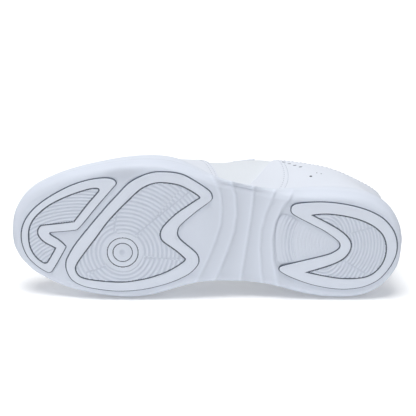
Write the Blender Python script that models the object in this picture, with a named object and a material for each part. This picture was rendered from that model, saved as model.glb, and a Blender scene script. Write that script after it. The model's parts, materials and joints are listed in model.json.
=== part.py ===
"""A left cheer shoe, standing on its tread.

The toe points to -Y, the outer (lateral) side is +X, +Z is up, and the origin is on the ground below the
middle of the shoe. The design is in millimetres, and mesh_object turns it into metres.

The upper is one smooth surface. Its lower edge follows the sole's outline, its top line runs along the
ridge of the toe box, round the throat and along the collar, and a cubic curve joins the two at every station.
A station is a share of the way from the toe (0) to the heel (1), negative on the medial side. Every panel
of the upper is a patch of that surface, moved in or out by the layers that lie under it.
"""

import math

import bmesh
import bpy
from mathutils import Vector

MM = 0.001

# Sole
TOE_Y = -130.0
HEEL_Y = 130.0
TOE_SPRING = 13.0
TOE_SPRING_START_Y = -52.0
HEEL_BEVEL = 2.5
HEEL_BEVEL_START_Y = 96.0
TREAD_PROUD = 1.2
TREAD_INSET = 1.5
TREAD_GAP = 0.4
GROOVE = 0.9
FIELD_RECESS = 0.5
PIVOT = (-14.3, -56.4)
PIVOT_RADIUS = 10.3
PIVOT_INNER = 6.6
ARCH_FIELD_PROUD = 0.7
ARCH_FIELD_INSET = 1.0
POCKET_CUT = 4.0
ARCH_Y = 24.0
ARCH_HALF_LENGTH = 30.0
ARCH_LIFT = 2.6
RIM_WALL = 2.4
RIM_TOP_INSET = 2.0

# Upper, from the outside in
CLEARANCE = 0.5
OVERLAY = 1.2
BASE = 1.6
LINING = 1.2
LINING_SLACK = 0.2
STIFFENER = 1.2
COLLAR_PAD = 5.0
TONGUE = 4.0
OVERLAY_START = 0.7
UPPER_INSET = RIM_TOP_INSET + RIM_WALL + 2 * CLEARANCE
BOARD = 1.6
SOCKLINER = 4.0
SOCKLINER_EASE = 2.4
VAMP_END = 0.40
QUARTER_START = 0.404
TOP_GAP = 0.02
STAY_START = 0.425
STAY_END = 0.66
COLLAR_START = 0.706
COLLAR_FOOT = 0.63

# Lacing
TONGUE_HINGE = (-1.0, -41.0, 53.5)
EYELET_STATIONS = (0.465, 0.497, 0.529, 0.561, 0.593, 0.625)
EYELET_SETBACK = 7.0
EYELET_RADIUS = 2.3
LACE_WIDTH = 6.0
LACE_THICK = 1.2
LACE_BUNCHED = 2.0
LACE_SECTION = ((-1, 0), (-0.8, -1), (0.8, -1), (1, 0), (0.8, 1), (-0.8, 1))

# The sole's widest outline, toe to heel, on each side
OUTLINE_LATERAL = (
    (-6, -130), (7, -128.5), (18, -123.3), (26.4, -115.5), (33, -104.7), (38.4, -93), (42.7, -80),
    (46, -66), (48, -52), (48.45, -38), (46.8, -24), (42.5, -10), (37.5, 4), (34, 17), (31, 31),
    (28.3, 44), (27, 58), (27, 74), (26.6, 89), (24.4, 102.5), (19.8, 113.5), (12, 122.6),
    (1.5, 128.2), (-9, 130),
)
OUTLINE_MEDIAL = (
    (-6, -130), (-15, -128.9), (-22.5, -125.4), (-28.5, -120.2), (-33.2, -114.5), (-38.2, -104.7),
    (-42.3, -94), (-45.4, -81), (-47.6, -67), (-48.5, -52), (-47.2, -38), (-43.6, -25),
    (-39.8, -13), (-37.4, -1), (-36.8, 13), (-37.2, 27), (-39.5, 42), (-44, 57), (-47.4, 72),
    (-48.5, 87), (-47.4, 101), (-42.5, 113.5), (-34, 122.6), (-24, 127.9), (-9, 130),
)

# Tread outlines
TOE_RIM = (
    (34.4, -61), (37, -63.4), (37.5, -69.6), (35.7, -79.4), (31.1, -91.1), (23.2, -103.8),
    (15, -113.5), (7.6, -119.4), (0.6, -122.7), (-6.4, -123.8), (-13.6, -122.8), (-21, -119.4),
    (-26.6, -113.5), (-30, -107.8), (-30.4, -105), (-27.4, -102.6), (-13.4, -95.3),
    (-11.3, -95.2), (-7.6, -99.2), (-4.7, -104.3), (-3, -105.3), (-1.9, -104), (0.4, -90.2),
    (2.9, -85.3), (17.2, -74.5), (30.4, -64),
)
TOE_FIELD = (
    (31.2, -73), (31, -77), (29, -83.3), (24.4, -94), (17.3, -105.7), (9.1, -114.2), (2, -118.4),
    (-6, -119.7), (-14.8, -118.4), (-21, -114.6), (-24.5, -109.9), (-24.7, -107.2),
    (-22.6, -105.5), (-13.6, -100.9), (-12.4, -101.6), (-9, -108.4), (-5.4, -111.9),
    (-2.1, -112.7), (1, -111.2), (2.3, -107.8), (5.8, -89.8), (7.2, -87.8), (19, -79.4),
    (27.8, -72.4), (30.2, -71.8),
)
BALL_RIM = (
    (42.1, -30), (41.6, -22.4), (40, -16), (37.1, -10.6), (32.9, -4.2), (28.9, 0.9), (25.6, 2.8),
    (22.3, 1.9), (15, -7.4), (5.5, -17.8), (1.2, -20), (-2.8, -19.9), (-7, -16.8), (-14.6, -8.2),
    (-19.6, -6), (-23.9, -7.2), (-29.4, -12.5), (-34.4, -22), (-38.4, -34), (-40.9, -47),
    (-41.6, -60.5), (-40.4, -73.5), (-38.6, -83), (-34.8, -90), (-28.8, -93.4), (-23.4, -93.9),
    (-18.6, -92.4), (-7.5, -86), (14.2, -69.6), (25.8, -59.8), (34.2, -52), (39.2, -43.6),
    (41.7, -36.4),
)
BALL_FIELD = (
    (35.6, -29), (34.3, -20.1), (31.6, -13.8), (27.6, -7.4), (25.2, -4.7), (23.6, -5),
    (22.3, -7.2), (13, -20.1), (5.4, -27.6), (1.2, -30.3), (-2.8, -30.8), (-6.4, -28.8),
    (-12.4, -20.9), (-17.8, -15), (-19.6, -14.3), (-22.4, -16.9), (-28.4, -26.5), (-33, -39),
    (-35.5, -52), (-35.9, -62), (-35.1, -74.4), (-33.9, -82.6), (-31.4, -86.6), (-27.2, -88.4),
    (-22.8, -87.2), (-15.2, -82.4), (-3.7, -74.4), (10.1, -64.7), (27.2, -48.8), (32.6, -42),
    (35.2, -35.4),
)
HEEL_RIM = (
    (15.6, 56.1), (18.4, 57.2), (19.9, 61.6), (20.7, 71), (20.6, 80), (19.6, 89), (17.6, 98.6),
    (14.3, 108), (9.2, 116.6), (2.4, 122.5), (-4.4, 125.5), (-11.4, 126.3), (-18.6, 124.9),
    (-26.6, 120.6), (-34.1, 113.6), (-38.5, 104), (-40.1, 93.3), (-39.6, 82.6), (-36.7, 69),
    (-31.8, 56.2), (-27.8, 49.2), (-25.9, 48.4), (-24.4, 50.6), (-21.6, 61), (-16.9, 79.2),
    (-14.4, 85), (-12, 88), (-9.4, 88.9), (-5.8, 87.3), (0.9, 78.7), (6.1, 69.4), (10.8, 60.8),
    (13.4, 57.1),
)
HEEL_FIELD = (
    (12.6, 70), (13.4, 79), (12.5, 88.6), (10.4, 98), (7.4, 106), (3, 113), (-2.8, 117.8),
    (-10, 119.8), (-18, 119.1), (-25.3, 115.6), (-30.8, 109.5), (-33.1, 101.5), (-33.3, 89),
    (-31.3, 77), (-28.9, 66.4), (-28, 66.4), (-25.2, 75.4), (-21.4, 85.5), (-17.6, 91.5),
    (-12.8, 94.8), (-8.4, 95.5), (-4.1, 93.6), (1, 88.2), (6.7, 79), (11.4, 70.4),
)

ARCH_FIELD = (
    (-10, 84.6), (-12.6, 82), (-15.2, 75.5), (-19.4, 61), (-22.3, 50.5), (-21.4, 47.6),
    (-18, 46.4), (-6, 45.2), (6, 46.6), (11.4, 49), (12.2, 52), (10, 57.6), (3, 67), (-3.8, 78),
    (-7.4, 83.2),
)

# Heights along the shoe, as (y, height) or (y, share)
FOOTBED = (
    (-130, 21), (-110, 15.4), (-85, 11.2), (-55, 9), (0, 8), (27, 8), (45, 9.6), (62, 12),
    (80, 13.4), (130, 14),
)
RIM_LATERAL = (
    (-130, 27.5), (-113, 25), (-87, 21.2), (-68, 20.2), (-42, 22), (-20, 23.6), (-8, 19),
    (6, 12.4), (20, 9.6), (32, 9.8), (46, 13), (60, 18.4), (74, 20), (130, 22.5),
)
RIM_MEDIAL = (
    (-130, 27.5), (-113, 25), (-87, 21.2), (-68, 20.2), (-42, 21.5), (-20, 22), (0, 18),
    (20, 15.4), (40, 16.4), (60, 19), (74, 20), (130, 22.5),
)
EDGE_INSET_LATERAL = ((-130, 5), (-40, 4.6), (0, 5), (24, 6), (50, 5.4), (80, 5), (130, 4.4))
EDGE_INSET_MEDIAL = ((-130, 5), (-60, 5.6), (-10, 6.2), (22, 8.6), (48, 7), (80, 6), (130, 4.4))

# The upper's top line, as (station, x, y, z): shared along the ridge of the toe box, then one row a side
RIDGE = (
    (0.00, -7, -109, 39.5), (0.10, -6.4, -105, 41.4), (0.20, -4.6, -90, 44.6),
    (0.30, -2.6, -68, 49.6), (0.37, -1.4, -53, 55), (0.40, -1, -47, 57.4),
)
TOP_LATERAL = (
    (0.40, -1, -47, 57.4), (0.43, 6.6, -44, 58.4), (0.46, 9.6, -36, 61.5),
    (0.50, 10.4, -22, 67.6), (0.57, 11.4, 0, 77), (0.64, 13, 21, 86.5), (0.68, 17.6, 33, 83.5),
    (0.73, 22.6, 48, 74), (0.79, 24.4, 64, 66), (0.85, 22.4, 82, 62), (0.91, 14.6, 99, 63.5),
    (0.96, 3, 113.4, 71), (1.0, -10.5, 118, 76),
)
TOP_MEDIAL = (
    (0.40, -1, -47, 57.4), (0.43, -8.6, -44, 58.4), (0.46, -11.8, -36, 61.5),
    (0.50, -13.4, -22, 67.6), (0.57, -16, 0, 77), (0.64, -19, 21, 86.5), (0.68, -24.4, 33, 83.5),
    (0.73, -32.4, 48, 74), (0.79, -38.6, 64, 66), (0.85, -40.2, 82, 62), (0.91, -35.2, 99, 63.5),
    (0.96, -24, 113.4, 71), (1.0, -10.5, 118, 76),
)
FOOT_SWELL = 0.3
# How the joining curve leaves the sole and meets the top line, as (station, rise, reach, drop, swell in mm)
FULLNESS = (
    (0.0, 0.66, 0.72, 0.0, 0), (0.2, 0.64, 0.66, 0.0, 0), (0.37, 0.6, 0.62, 0.0, 0.5),
    (0.44, 0.56, 0.72, 0.08, 2), (0.52, 0.52, 0.86, 0.13, 4), (0.57, 0.5, 0.88, 0.14, 5),
    (0.62, 0.48, 0.8, 0.16, 7.5), (0.66, 0.45, 0.6, 0.2, 9), (0.70, 0.42, 0.4, 0.26, 7.5),
    (0.75, 0.4, 0.16, 0.32, 4.5), (0.85, 0.4, 0.05, 0.36, 1.5), (1.0, 0.4, 0.0, 0.4, 0),
)

WHITE_RUBBER = ("white_rubber", (0.80, 0.83, 0.88), 0.55)
WHITE_FOAM = ("white_foam", (0.82, 0.85, 0.90), 0.6)
WHITE_LEATHER = ("white_leather", (0.86, 0.87, 0.90), 0.45)
CREAM_MESH = ("cream_mesh", (0.86, 0.86, 0.83), 0.85)
WHITE_TEXTILE = ("white_textile", (0.84, 0.84, 0.85), 0.9)
GREY_BOARD = ("grey_board", (0.55, 0.55, 0.55), 0.95)
WHITE_COTTON = ("white_cotton", (0.88, 0.88, 0.90), 0.9)


# ---------------------------------------------------------------- curves

def hermite(p0, p1, p2, p3, t):
    """A point on the smooth curve from p1 to p2, at share t."""
    return tuple(
        0.5 * (2 * b + (c - a) * t + (2 * a - 5 * b + 4 * c - d) * t * t + (3 * b - a - 3 * c + d) * t**3)
        for a, b, c, d in zip(p0, p1, p2, p3)
    )


def smooth_loop(points, steps=3):
    """A closed smooth curve through the points."""
    n = len(points)
    return [
        hermite(points[i - 1], points[i], points[(i + 1) % n], points[(i + 2) % n], k / steps)
        for i in range(n)
        for k in range(steps)
    ]


def smooth_line(points, steps=6):
    """An open smooth curve through the points."""
    padded = [points[0], *points, points[-1]]
    line = [
        hermite(*padded[i:i + 4], k / steps)
        for i in range(len(points) - 1)
        for k in range(steps)
    ]
    return [*line, tuple(points[-1])]


def spaced(line, count):
    """count + 1 points along a line, equally far apart."""
    lengths = [0.0]
    for a, b in zip(line, line[1:]):
        lengths.append(lengths[-1] + math.dist(a, b))
    found, i = [], 0
    for k in range(count + 1):
        target = lengths[-1] * k / count
        while i < len(line) - 2 and lengths[i + 1] < target:
            i += 1
        share = (target - lengths[i]) / (lengths[i + 1] - lengths[i])
        found.append(tuple(a + (b - a) * share for a, b in zip(line[i], line[i + 1])))
    return found


def eased(table, t):
    """The values at t in a table of rows (t, value, ...), with smooth joins between the rows."""
    rows = [tuple(row) for row in table]
    t = min(max(t, rows[0][0]), rows[-1][0])
    i = max(k for k in range(len(rows) - 1) if rows[k][0] <= t)
    before, start, end, after = rows[max(i - 1, 0)], rows[i], rows[i + 1], rows[min(i + 2, len(rows) - 1)]
    span = end[0] - start[0]
    share = (t - start[0]) / span
    values = []
    for a, b, c, d in zip(before[1:], start[1:], end[1:], after[1:]):
        slope_b = (c - a) / (end[0] - before[0]) * span
        slope_c = (d - b) / (after[0] - start[0]) * span
        h = share
        values.append(
            (2 * h**3 - 3 * h**2 + 1) * b + (h**3 - 2 * h**2 + h) * slope_b
            + (3 * h**2 - 2 * h**3) * c + (h**3 - h**2) * slope_c
        )
    return values


def grown(loop, distance):
    """A closed outline moved out by a distance or a function of (x, y), or in if it is negative."""
    n = len(loop)
    area = sum(loop[i - 1][0] * loop[i][1] - loop[i][0] * loop[i - 1][1] for i in range(n))
    turn = 1 if area > 0 else -1
    moved = []
    for i in range(n):
        along = Vector(loop[(i + 1) % n][:2]) - Vector(loop[i - 1][:2])
        out = Vector((along.y, -along.x)).normalized() * turn
        by = distance(*loop[i][:2]) if callable(distance) else distance
        moved.append((loop[i][0] + out.x * by, loop[i][1] + out.y * by))
    return moved


def gap_to(point, loop):
    """The distance from a point to a closed outline."""
    nearest = math.inf
    for a, b in zip(loop, [*loop[1:], loop[0]]):
        line = (b[0] - a[0], b[1] - a[1])
        share = ((point[0] - a[0]) * line[0] + (point[1] - a[1]) * line[1]) / (line[0] ** 2 + line[1] ** 2)
        share = min(max(share, 0), 1)
        nearest = min(nearest, math.dist(point, (a[0] + line[0] * share, a[1] + line[1] * share)))
    return nearest


def shrunk(loop, distance):
    """A closed outline moved in, without the points that its sharp corners would cross over."""
    return [p for p in grown(loop, -distance) if gap_to(p, loop) > 0.97 * distance]


# ---------------------------------------------------------------- surfaces

def lift(y):
    """How far the tread curves up off the ground at the toe and the heel."""
    toe = max(0.0, (TOE_SPRING_START_Y - y) / (TOE_SPRING_START_Y - TOE_Y))
    heel = max(0.0, (y - HEEL_BEVEL_START_Y) / (HEEL_Y - HEEL_BEVEL_START_Y))
    return TOE_SPRING * toe**2 + HEEL_BEVEL * heel**2


def sole_bottom(y):
    """The midsole's underside, which the tread stands proud of, with the raised waist."""
    share = min(abs(y - ARCH_Y) / ARCH_HALF_LENGTH, 1.0)
    return lift(y) + TREAD_PROUD + ARCH_LIFT * (0.5 + 0.5 * math.cos(math.pi * share))


def footbed(y):
    return eased(FOOTBED, y)[0]


def sole_outline(count):
    """The sole's outline as 2 * count points: toe tip, lateral side, heel, medial side."""
    lateral = spaced(smooth_line(OUTLINE_LATERAL), count)
    medial = spaced(smooth_line(OUTLINE_MEDIAL), count)
    return lateral[:-1] + medial[:0:-1]


def bite_line():
    """Where the upper meets the footbed, as one fine line a side, from the toe to the heel."""
    count = 60
    loop = grown(sole_outline(count), -UPPER_INSET)
    loop = [(x, y, footbed(y) + CLEARANCE) for x, y in loop]
    return loop[:count + 1], [loop[0], *loop[:count - 1:-1]]


BITE_LATERAL, BITE_MEDIAL = bite_line()


def along(line, share):
    at = min(max(share, 0.0), 1.0) * (len(line) - 1)
    i = min(int(at), len(line) - 2)
    return Vector(line[i]).lerp(Vector(line[i + 1]), at - i)


def surface(station, height):
    """A point of the upper's outer surface. height is 0 at the sole and 1 on the top line.

    Stations run on round the heel, so 1.2 is the same as -0.8.
    """
    station = (station + 1) % 2 - 1
    lateral, share = station >= 0, abs(station)
    foot = along(BITE_LATERAL if lateral else BITE_MEDIAL, share)
    line = RIDGE if share <= VAMP_END else TOP_LATERAL if lateral else TOP_MEDIAL
    top = Vector(eased(line, share))
    rise, reach, drop, swell = eased(FULLNESS, share)
    swell = swell if lateral else -swell
    tall = top.z - foot.z
    aside = Vector((foot.x - top.x, foot.y - top.y, 0))
    first = foot + Vector((FOOT_SWELL * swell, 0, rise * tall))
    second = top + aside * reach + Vector(((2 - FOOT_SWELL) * swell, 0, -drop * tall))
    h, g = height, 1 - height
    return foot * g**3 + first * (3 * g * g * h) + second * (3 * g * h * h) + top * h**3


def outward(station, height):
    """The surface's unit normal, pointing out of the shoe."""
    step = 0.004
    low, high = max(height - step, 0.0), min(height + step, 1.0)
    up = surface(station, high) - surface(station, low)
    back = surface(station + step, height) - surface(station - step, height)
    return back.cross(up).normalized()


# ---------------------------------------------------------------- mesh helpers

def material(spec):
    name, colour, roughness = spec
    made = bpy.data.materials.get(name) or bpy.data.materials.new(name)
    made.use_nodes = True
    shader = made.node_tree.nodes["Principled BSDF"]
    shader.inputs["Base Color"].default_value = (*colour, 1)
    shader.inputs["Roughness"].default_value = roughness
    return made


def mesh_object(name, bm, spec, origin=(0, 0, 0)):
    """A named object from a bmesh. origin is where its own origin goes. Both are in millimetres."""
    bmesh.ops.remove_doubles(bm, verts=bm.verts, dist=0.001)
    bmesh.ops.recalc_face_normals(bm, faces=bm.faces)
    for vert in bm.verts:
        vert.co = (vert.co - Vector(origin)) * MM
    mesh = bpy.data.meshes.new(name)
    bm.to_mesh(mesh)
    bm.free()
    mesh.materials.append(material(spec))
    mesh.shade_smooth()
    mesh.set_sharp_from_angle(angle=math.radians(40))
    made = bpy.data.objects.new(name, mesh)
    made.location = Vector(origin) * MM
    bpy.context.collection.objects.link(made)
    return made


def cut(made, cutter):
    """Subtracts a helper object, which stays out of the model."""
    cutter.hide_render = True
    cutter.display_type = "WIRE"
    boolean = made.modifiers.new("cut_" + cutter.name, "BOOLEAN")
    boolean.operation = "DIFFERENCE"
    boolean.object = cutter


def bridge(bm, rings, closed=True):
    """Faces between rings of vertices, all the same length."""
    count = len(rings[0])
    for low, high in zip(rings, rings[1:]):
        for i in range(count if closed else count - 1):
            j = (i + 1) % count
            bm.faces.new((low[i], low[j], high[j], high[i]))


def plate(loops, low, high):
    """A closed plate between two height functions of y. The first loop is its edge, the rest are holes."""
    bm = bmesh.new()
    edges = []
    for loop in loops:
        verts = [bm.verts.new((x, y, 0)) for x, y in loop]
        edges += [bm.edges.new((verts[i - 1], verts[i])) for i in range(len(verts))]
    bmesh.ops.triangle_fill(bm, use_beauty=True, use_dissolve=False, edges=edges)
    ys = [y for x, y in loops[0]]
    step = 12.0
    y = math.ceil(min(ys) / step) * step
    while y < max(ys):
        geometry = bm.verts[:] + bm.edges[:] + bm.faces[:]
        bmesh.ops.bisect_plane(bm, geom=geometry, dist=0.01, plane_co=(0, y, 0), plane_no=(0, 1, 0))
        y += step
    bmesh.ops.remove_doubles(bm, verts=bm.verts, dist=0.25)
    bmesh.ops.triangulate(bm, faces=bm.faces)
    bmesh.ops.dissolve_degenerate(bm, edges=bm.edges, dist=0.02)
    extruded = bmesh.ops.extrude_face_region(bm, geom=bm.faces[:])
    tops = {v for v in extruded["geom"] if isinstance(v, bmesh.types.BMVert)}
    for vert in bm.verts:
        vert.co.z = high(vert.co.y) if vert in tops else low(vert.co.y)
    return bm


def circle(centre, radius, count=24):
    return [
        (
            centre[0] + radius * math.cos(2 * math.pi * i / count),
            centre[1] + radius * math.sin(2 * math.pi * i / count),
        )
        for i in range(count)
    ]


def patch(grid, outer, thick, merge_ridge=False):
    """A closed panel of the upper over a grid of (station, height), its outer face standing out by outer."""
    bm = bmesh.new()
    layers = []
    for depth in (outer, outer - thick):
        rows = []
        for line in grid:
            row = []
            for station, height in line:
                normal = outward(station, height)
                if merge_ridge and height > 0.999:
                    normal = (normal + outward(-station, height)).normalized()
                row.append(bm.verts.new(surface(station, height) + normal * depth))
            rows.append(row)
        layers.append(rows)
    outer_rows, inner_rows = layers
    bridge(bm, outer_rows, closed=False)
    bridge(bm, inner_rows, closed=False)
    edges = [patch_edge(outer_rows, merge_ridge), patch_edge(inner_rows, merge_ridge)]
    bridge(bm, edges, closed=not merge_ridge)
    return bm


def patch_edge(rows, merge_ridge):
    """The vertices round a patch in order, or round all but its ridge, where its two sides meet."""
    round_the_foot = rows[0][:0:-1] + [row[0] for row in rows] + rows[-1][1:]
    return round_the_foot if merge_ridge else round_the_foot + [row[-1] for row in rows[-2:0:-1]]


def shares(low, high, count):
    return [low + (high - low) * i / count for i in range(count + 1)]


def value(given, at):
    return given(at) if callable(given) else given


def panel_grid(front, back, low, high, columns, rows):
    """A grid between two stations, which may depend on the height's share, and two heights.

    The heights may depend on the station.
    """
    grid = []
    for a in shares(0, 1, columns):
        line = []
        for b in shares(0, 1, rows):
            station = value(front, b) * (1 - a) + value(back, b) * a
            line.append((station, value(low, station) * (1 - b) + value(high, station) * b))
        grid.append(line)
    return grid


def rim_height(station):
    x, y, z = surface(station, 0)
    lateral = (station + 1) % 2 >= 1
    return max(eased(RIM_LATERAL if lateral else RIM_MEDIAL, y)[0], z)


def above_rim(station):
    """The height's share just above the sole's rim, where a layer outside the surface may start."""
    low, high = 0.0, 0.9
    for _ in range(14):
        middle = (low + high) / 2
        if surface(station, middle).z < rim_height(station) + OVERLAY_START:
            low = middle
        else:
            high = middle
    return high


# ---------------------------------------------------------------- sole

def midsole():
    count = 28
    outline = sole_outline(count)

    def ring(inset, height):
        loop = grown(outline, inset) if inset else [(x, y) for x, y in outline]
        return [bm.verts.new((x, y, height(x, y, i <= count))) for i, (x, y) in enumerate(loop)]

    def edge_inset(x, y):
        return -eased(EDGE_INSET_LATERAL if x > -10 else EDGE_INSET_MEDIAL, y)[0]

    def rim(x, y, lateral):
        return eased(RIM_LATERAL if lateral else RIM_MEDIAL, y)[0]

    bm = bmesh.new()
    rings = [
        ring(edge_inset, lambda x, y, lateral: sole_bottom(y)),
        ring(lambda x, y: 0.35 * edge_inset(x, y), lambda x, y, lateral: sole_bottom(y) + 1.8),
        ring(0, lambda x, y, lateral: lift(y) + 0.42 * (rim(x, y, lateral) - lift(y))),
        ring(-RIM_TOP_INSET, rim),
        ring(
            -RIM_TOP_INSET - RIM_WALL,
            lambda x, y, lateral: max(rim(x, y, lateral) - 0.3, footbed(y) + 0.8),
        ),
        ring(-RIM_TOP_INSET - RIM_WALL, lambda x, y, lateral: footbed(y)),
    ]
    bridge(bm, rings)
    ladder(bm, rings[0], count, sole_bottom)
    ladder(bm, rings[-1], count, footbed)
    made = mesh_object("midsole", bm, WHITE_FOAM)
    for name, loop in (("toe", TOE_RIM), ("ball", BALL_RIM), ("heel", HEEL_RIM), ("arch", ARCH_FIELD)):
        edge = grown(smooth_loop(loop, 2), TREAD_GAP)
        roof = arch_field_top if name == "arch" else tread_top
        pocket = plate([edge], lambda y: lift(y) - POCKET_CUT, lambda y, roof=roof: roof(y) + CLEARANCE)
        cut(made, mesh_object(name + "_pocket_cutter", pocket, WHITE_FOAM))


def ladder(bm, ring, count, height):
    """Closes a ring of 2 * count vertices with rows from its lateral side to its medial side."""
    columns = 4
    rows = [[ring[0]] * (columns + 1)]
    for i in range(1, count):
        start, end = ring[i], ring[-i]
        inner = [start.co.lerp(end.co, k / columns) for k in range(1, columns)]
        rows.append([start, *(bm.verts.new((p.x, p.y, height(p.y))) for p in inner), end])
    rows.append([ring[count]] * (columns + 1))
    for low, high in zip(rows, rows[1:]):
        for k in range(columns):
            corners = list(dict.fromkeys((low[k], low[k + 1], high[k + 1], high[k])))
            bm.faces.new(corners)


def tread_top(y):
    """The top of the tread blocks, let into the midsole."""
    return lift(y) + TREAD_PROUD + TREAD_INSET


def arch_field_top(y):
    return sole_bottom(y) + ARCH_FIELD_INSET


def tread():
    """Each tread block is a rim with a finer-ribbed field set inside it, a groove's width away."""

    def recessed(y):
        return lift(y) + FIELD_RECESS

    blocks = (("toe", TOE_RIM, TOE_FIELD), ("ball", BALL_RIM, BALL_FIELD), ("heel", HEEL_RIM, HEEL_FIELD))
    for name, rim, field in blocks:
        outer, inner = smooth_loop(rim, 2), smooth_loop(field, 2)
        mesh_object(name + "_tread_rim", plate([outer, inner], lift, tread_top), WHITE_RUBBER)
        loops = [shrunk(inner, GROOVE)]
        if name == "ball":
            loops.append(circle(PIVOT, PIVOT_RADIUS))
        mesh_object(name + "_tread_field", plate(loops, recessed, tread_top), WHITE_RUBBER)
    ring = [circle(PIVOT, PIVOT_RADIUS - TREAD_GAP), circle(PIVOT, PIVOT_INNER)]
    mesh_object("pivot_ring", plate(ring, recessed, tread_top), WHITE_RUBBER)
    disc = [circle(PIVOT, PIVOT_INNER - TREAD_GAP, 16)]
    mesh_object("pivot_disc", plate(disc, recessed, tread_top), WHITE_RUBBER)
    arch = plate([smooth_loop(ARCH_FIELD, 2)], lambda y: sole_bottom(y) - ARCH_FIELD_PROUD, arch_field_top)
    mesh_object("heel_arch_field", arch, WHITE_RUBBER)


def footbed_plate(name, ease, bottom, thick, spec):
    """A layer that lies in the shoe, inside the upper's own layers and eased in from them."""
    inset = UPPER_INSET + BASE + STIFFENER + LINING + 4 * CLEARANCE + ease
    loop = grown(sole_outline(24), -inset)

    def low(y):
        return footbed(y) + bottom

    return mesh_object(name, plate([loop], low, lambda y: low(y) + thick), spec)


# ---------------------------------------------------------------- upper

def below(*layers):
    """The depth of the outer face of a layer that lies under others, with a clearance between them."""
    return -sum(layers) - CLEARANCE * len(layers)


def upper_panels():
    toe_box = [[(s, h) for h in shares(0, 1, 8)] for s in shares(-VAMP_END, VAMP_END, 24)]
    mesh_object("vamp", patch(toe_box, 0, BASE, merge_ridge=True), WHITE_LEATHER)
    mesh_object("vamp_lining", patch(toe_box, below(BASE, STIFFENER), 1.0, merge_ridge=True), WHITE_TEXTILE)
    puff = panel_grid(-VAMP_END * 7 / 12, VAMP_END * 7 / 12, 0.125, 0.75, 14, 5)
    mesh_object("toe_puff", patch(puff, below(BASE), STIFFENER), GREY_BOARD)
    cap = panel_grid(-0.31, 0.31, above_rim, lambda s: 0.80 - 0.40 * (abs(s) / 0.31) ** 2, 24, 4)
    mesh_object("toe_overlay", patch(cap, CLEARANCE + OVERLAY, OVERLAY), WHITE_LEATHER)
    for side, sign in (("lateral", 1), ("medial", -1)):
        quarter(side, sign)
    heel()
    collar()


def stay_foot(station):
    """The height of an eyestay's lower edge, narrowing towards the ankle."""
    return 0.74 + 0.08 * min(1, max(0, (station - 0.46) / 0.14))


def heel_front(share):
    """The station of the heel overlay's front edge, leaning back from the sole."""
    return 0.60 + 0.125 * share


def quarter(side, sign):
    """The side of the upper, from the vamp to the heel: a mesh base, its lining and the overlays on it."""

    def mirrored(grid):
        return [[(sign * s, h) for s, h in line] for line in grid]

    def rim(station):
        return above_rim(sign * station)

    base = mesh_object(
        side + "_quarter",
        patch(mirrored(panel_grid(QUARTER_START, 0.998, 0, 1, 22, 6)), 0, BASE),
        CREAM_MESH,
    )
    lining = mesh_object(
        side + "_lining",
        patch(mirrored(panel_grid(STAY_START, 0.70, 0.03, 0.97, 11, 6)), below(BASE) - LINING_SLACK, LINING),
        WHITE_TEXTILE,
    )
    # The forefoot overlay covers the seam between vamp and quarter and rises to the eyestay
    forefoot = panel_grid(
        lambda b: 0.325 + 0.055 * b, lambda b: 0.545 - 0.03 * b, rim, 0.70, 12, 6
    )
    wing = patch(mirrored(forefoot), CLEARANCE + OVERLAY, OVERLAY)
    mesh_object(side + "_forefoot_overlay", wing, WHITE_LEATHER)
    stay = panel_grid(STAY_START, STAY_END, stay_foot, 1 - TOP_GAP, 10, 2)
    band = patch(mirrored(stay), CLEARANCE + OVERLAY, OVERLAY)
    eyestay = mesh_object(side + "_eyestay", band, WHITE_LEATHER)
    holes = bmesh.new()
    for station in EYELET_STATIONS:
        centre, normal, across = eyelet(sign * station)
        frame = across.cross(normal)
        rings = []
        for depth in (-8, 8):
            rings.append([
                holes.verts.new(centre + normal * depth + across * x + frame * y)
                for x, y in circle((0, 0), EYELET_RADIUS, 8)
            ])
        bridge(holes, rings)
        holes.faces.new(rings[0])
        holes.faces.new(rings[1])
    cutter = mesh_object(side + "_eyelet_cutter", holes, WHITE_LEATHER)
    for holed in (base, lining, eyestay):
        cut(holed, cutter)


def eyelet(station):
    """The middle of an eyelet hole, the way out through it, and the way to the throat from it."""
    throat = surface(station, 1)
    height = 1.0
    while (surface(station, height) - throat).length < EYELET_SETBACK:
        height -= 0.005
    centre = surface(station, height)
    across = (throat - centre).normalized()
    normal = outward(station, height)
    return centre, (normal - across * normal.dot(across)).normalized(), across


def heel():
    """The overlay round the heel, the stiff counter inside it and the lining."""
    cover = panel_grid(heel_front, lambda share: 2 - heel_front(share), above_rim, 0.93, 26, 5)
    mesh_object("heel_overlay", patch(cover, CLEARANCE + OVERLAY, OVERLAY), WHITE_LEATHER)
    counter = panel_grid(lambda b: 0.74 + 0.1 * b, lambda b: 1.26 - 0.1 * b, 0.05, 0.58, 18, 3)
    mesh_object("heel_counter", patch(counter, below(BASE), STIFFENER), GREY_BOARD)
    inside = panel_grid(COLLAR_START, 2 - COLLAR_START, 0.03, 0.60, 20, 3)
    mesh_object("heel_lining", patch(inside, below(BASE, STIFFENER), LINING), WHITE_TEXTILE)


def collar():
    """The padding round the ankle opening, thickest in the middle of its height."""
    grid = panel_grid(COLLAR_START, 2 - COLLAR_START, COLLAR_FOOT, 1.0, 24, 4)
    bm = bmesh.new()
    rings = []
    for line in grid:
        ring = []
        for station, height in line:
            ring.append(surface(station, height) + outward(station, height) * below(BASE))
        for station, height in reversed(line):
            share = (height - COLLAR_FOOT) / (1 - COLLAR_FOOT)
            thick = COLLAR_PAD * (0.35 + 0.65 * math.sin(math.pi * (0.1 + 0.8 * share)))
            ring.append(surface(station, height) + outward(station, height) * (below(BASE) - thick))
        rings.append([bm.verts.new(p) for p in ring])
    bridge(bm, rings)
    bm.faces.new(rings[0])
    bm.faces.new(rings[-1])
    mesh_object("collar_padding", bm, WHITE_TEXTILE)


# ---------------------------------------------------------------- tongue and lace

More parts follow.
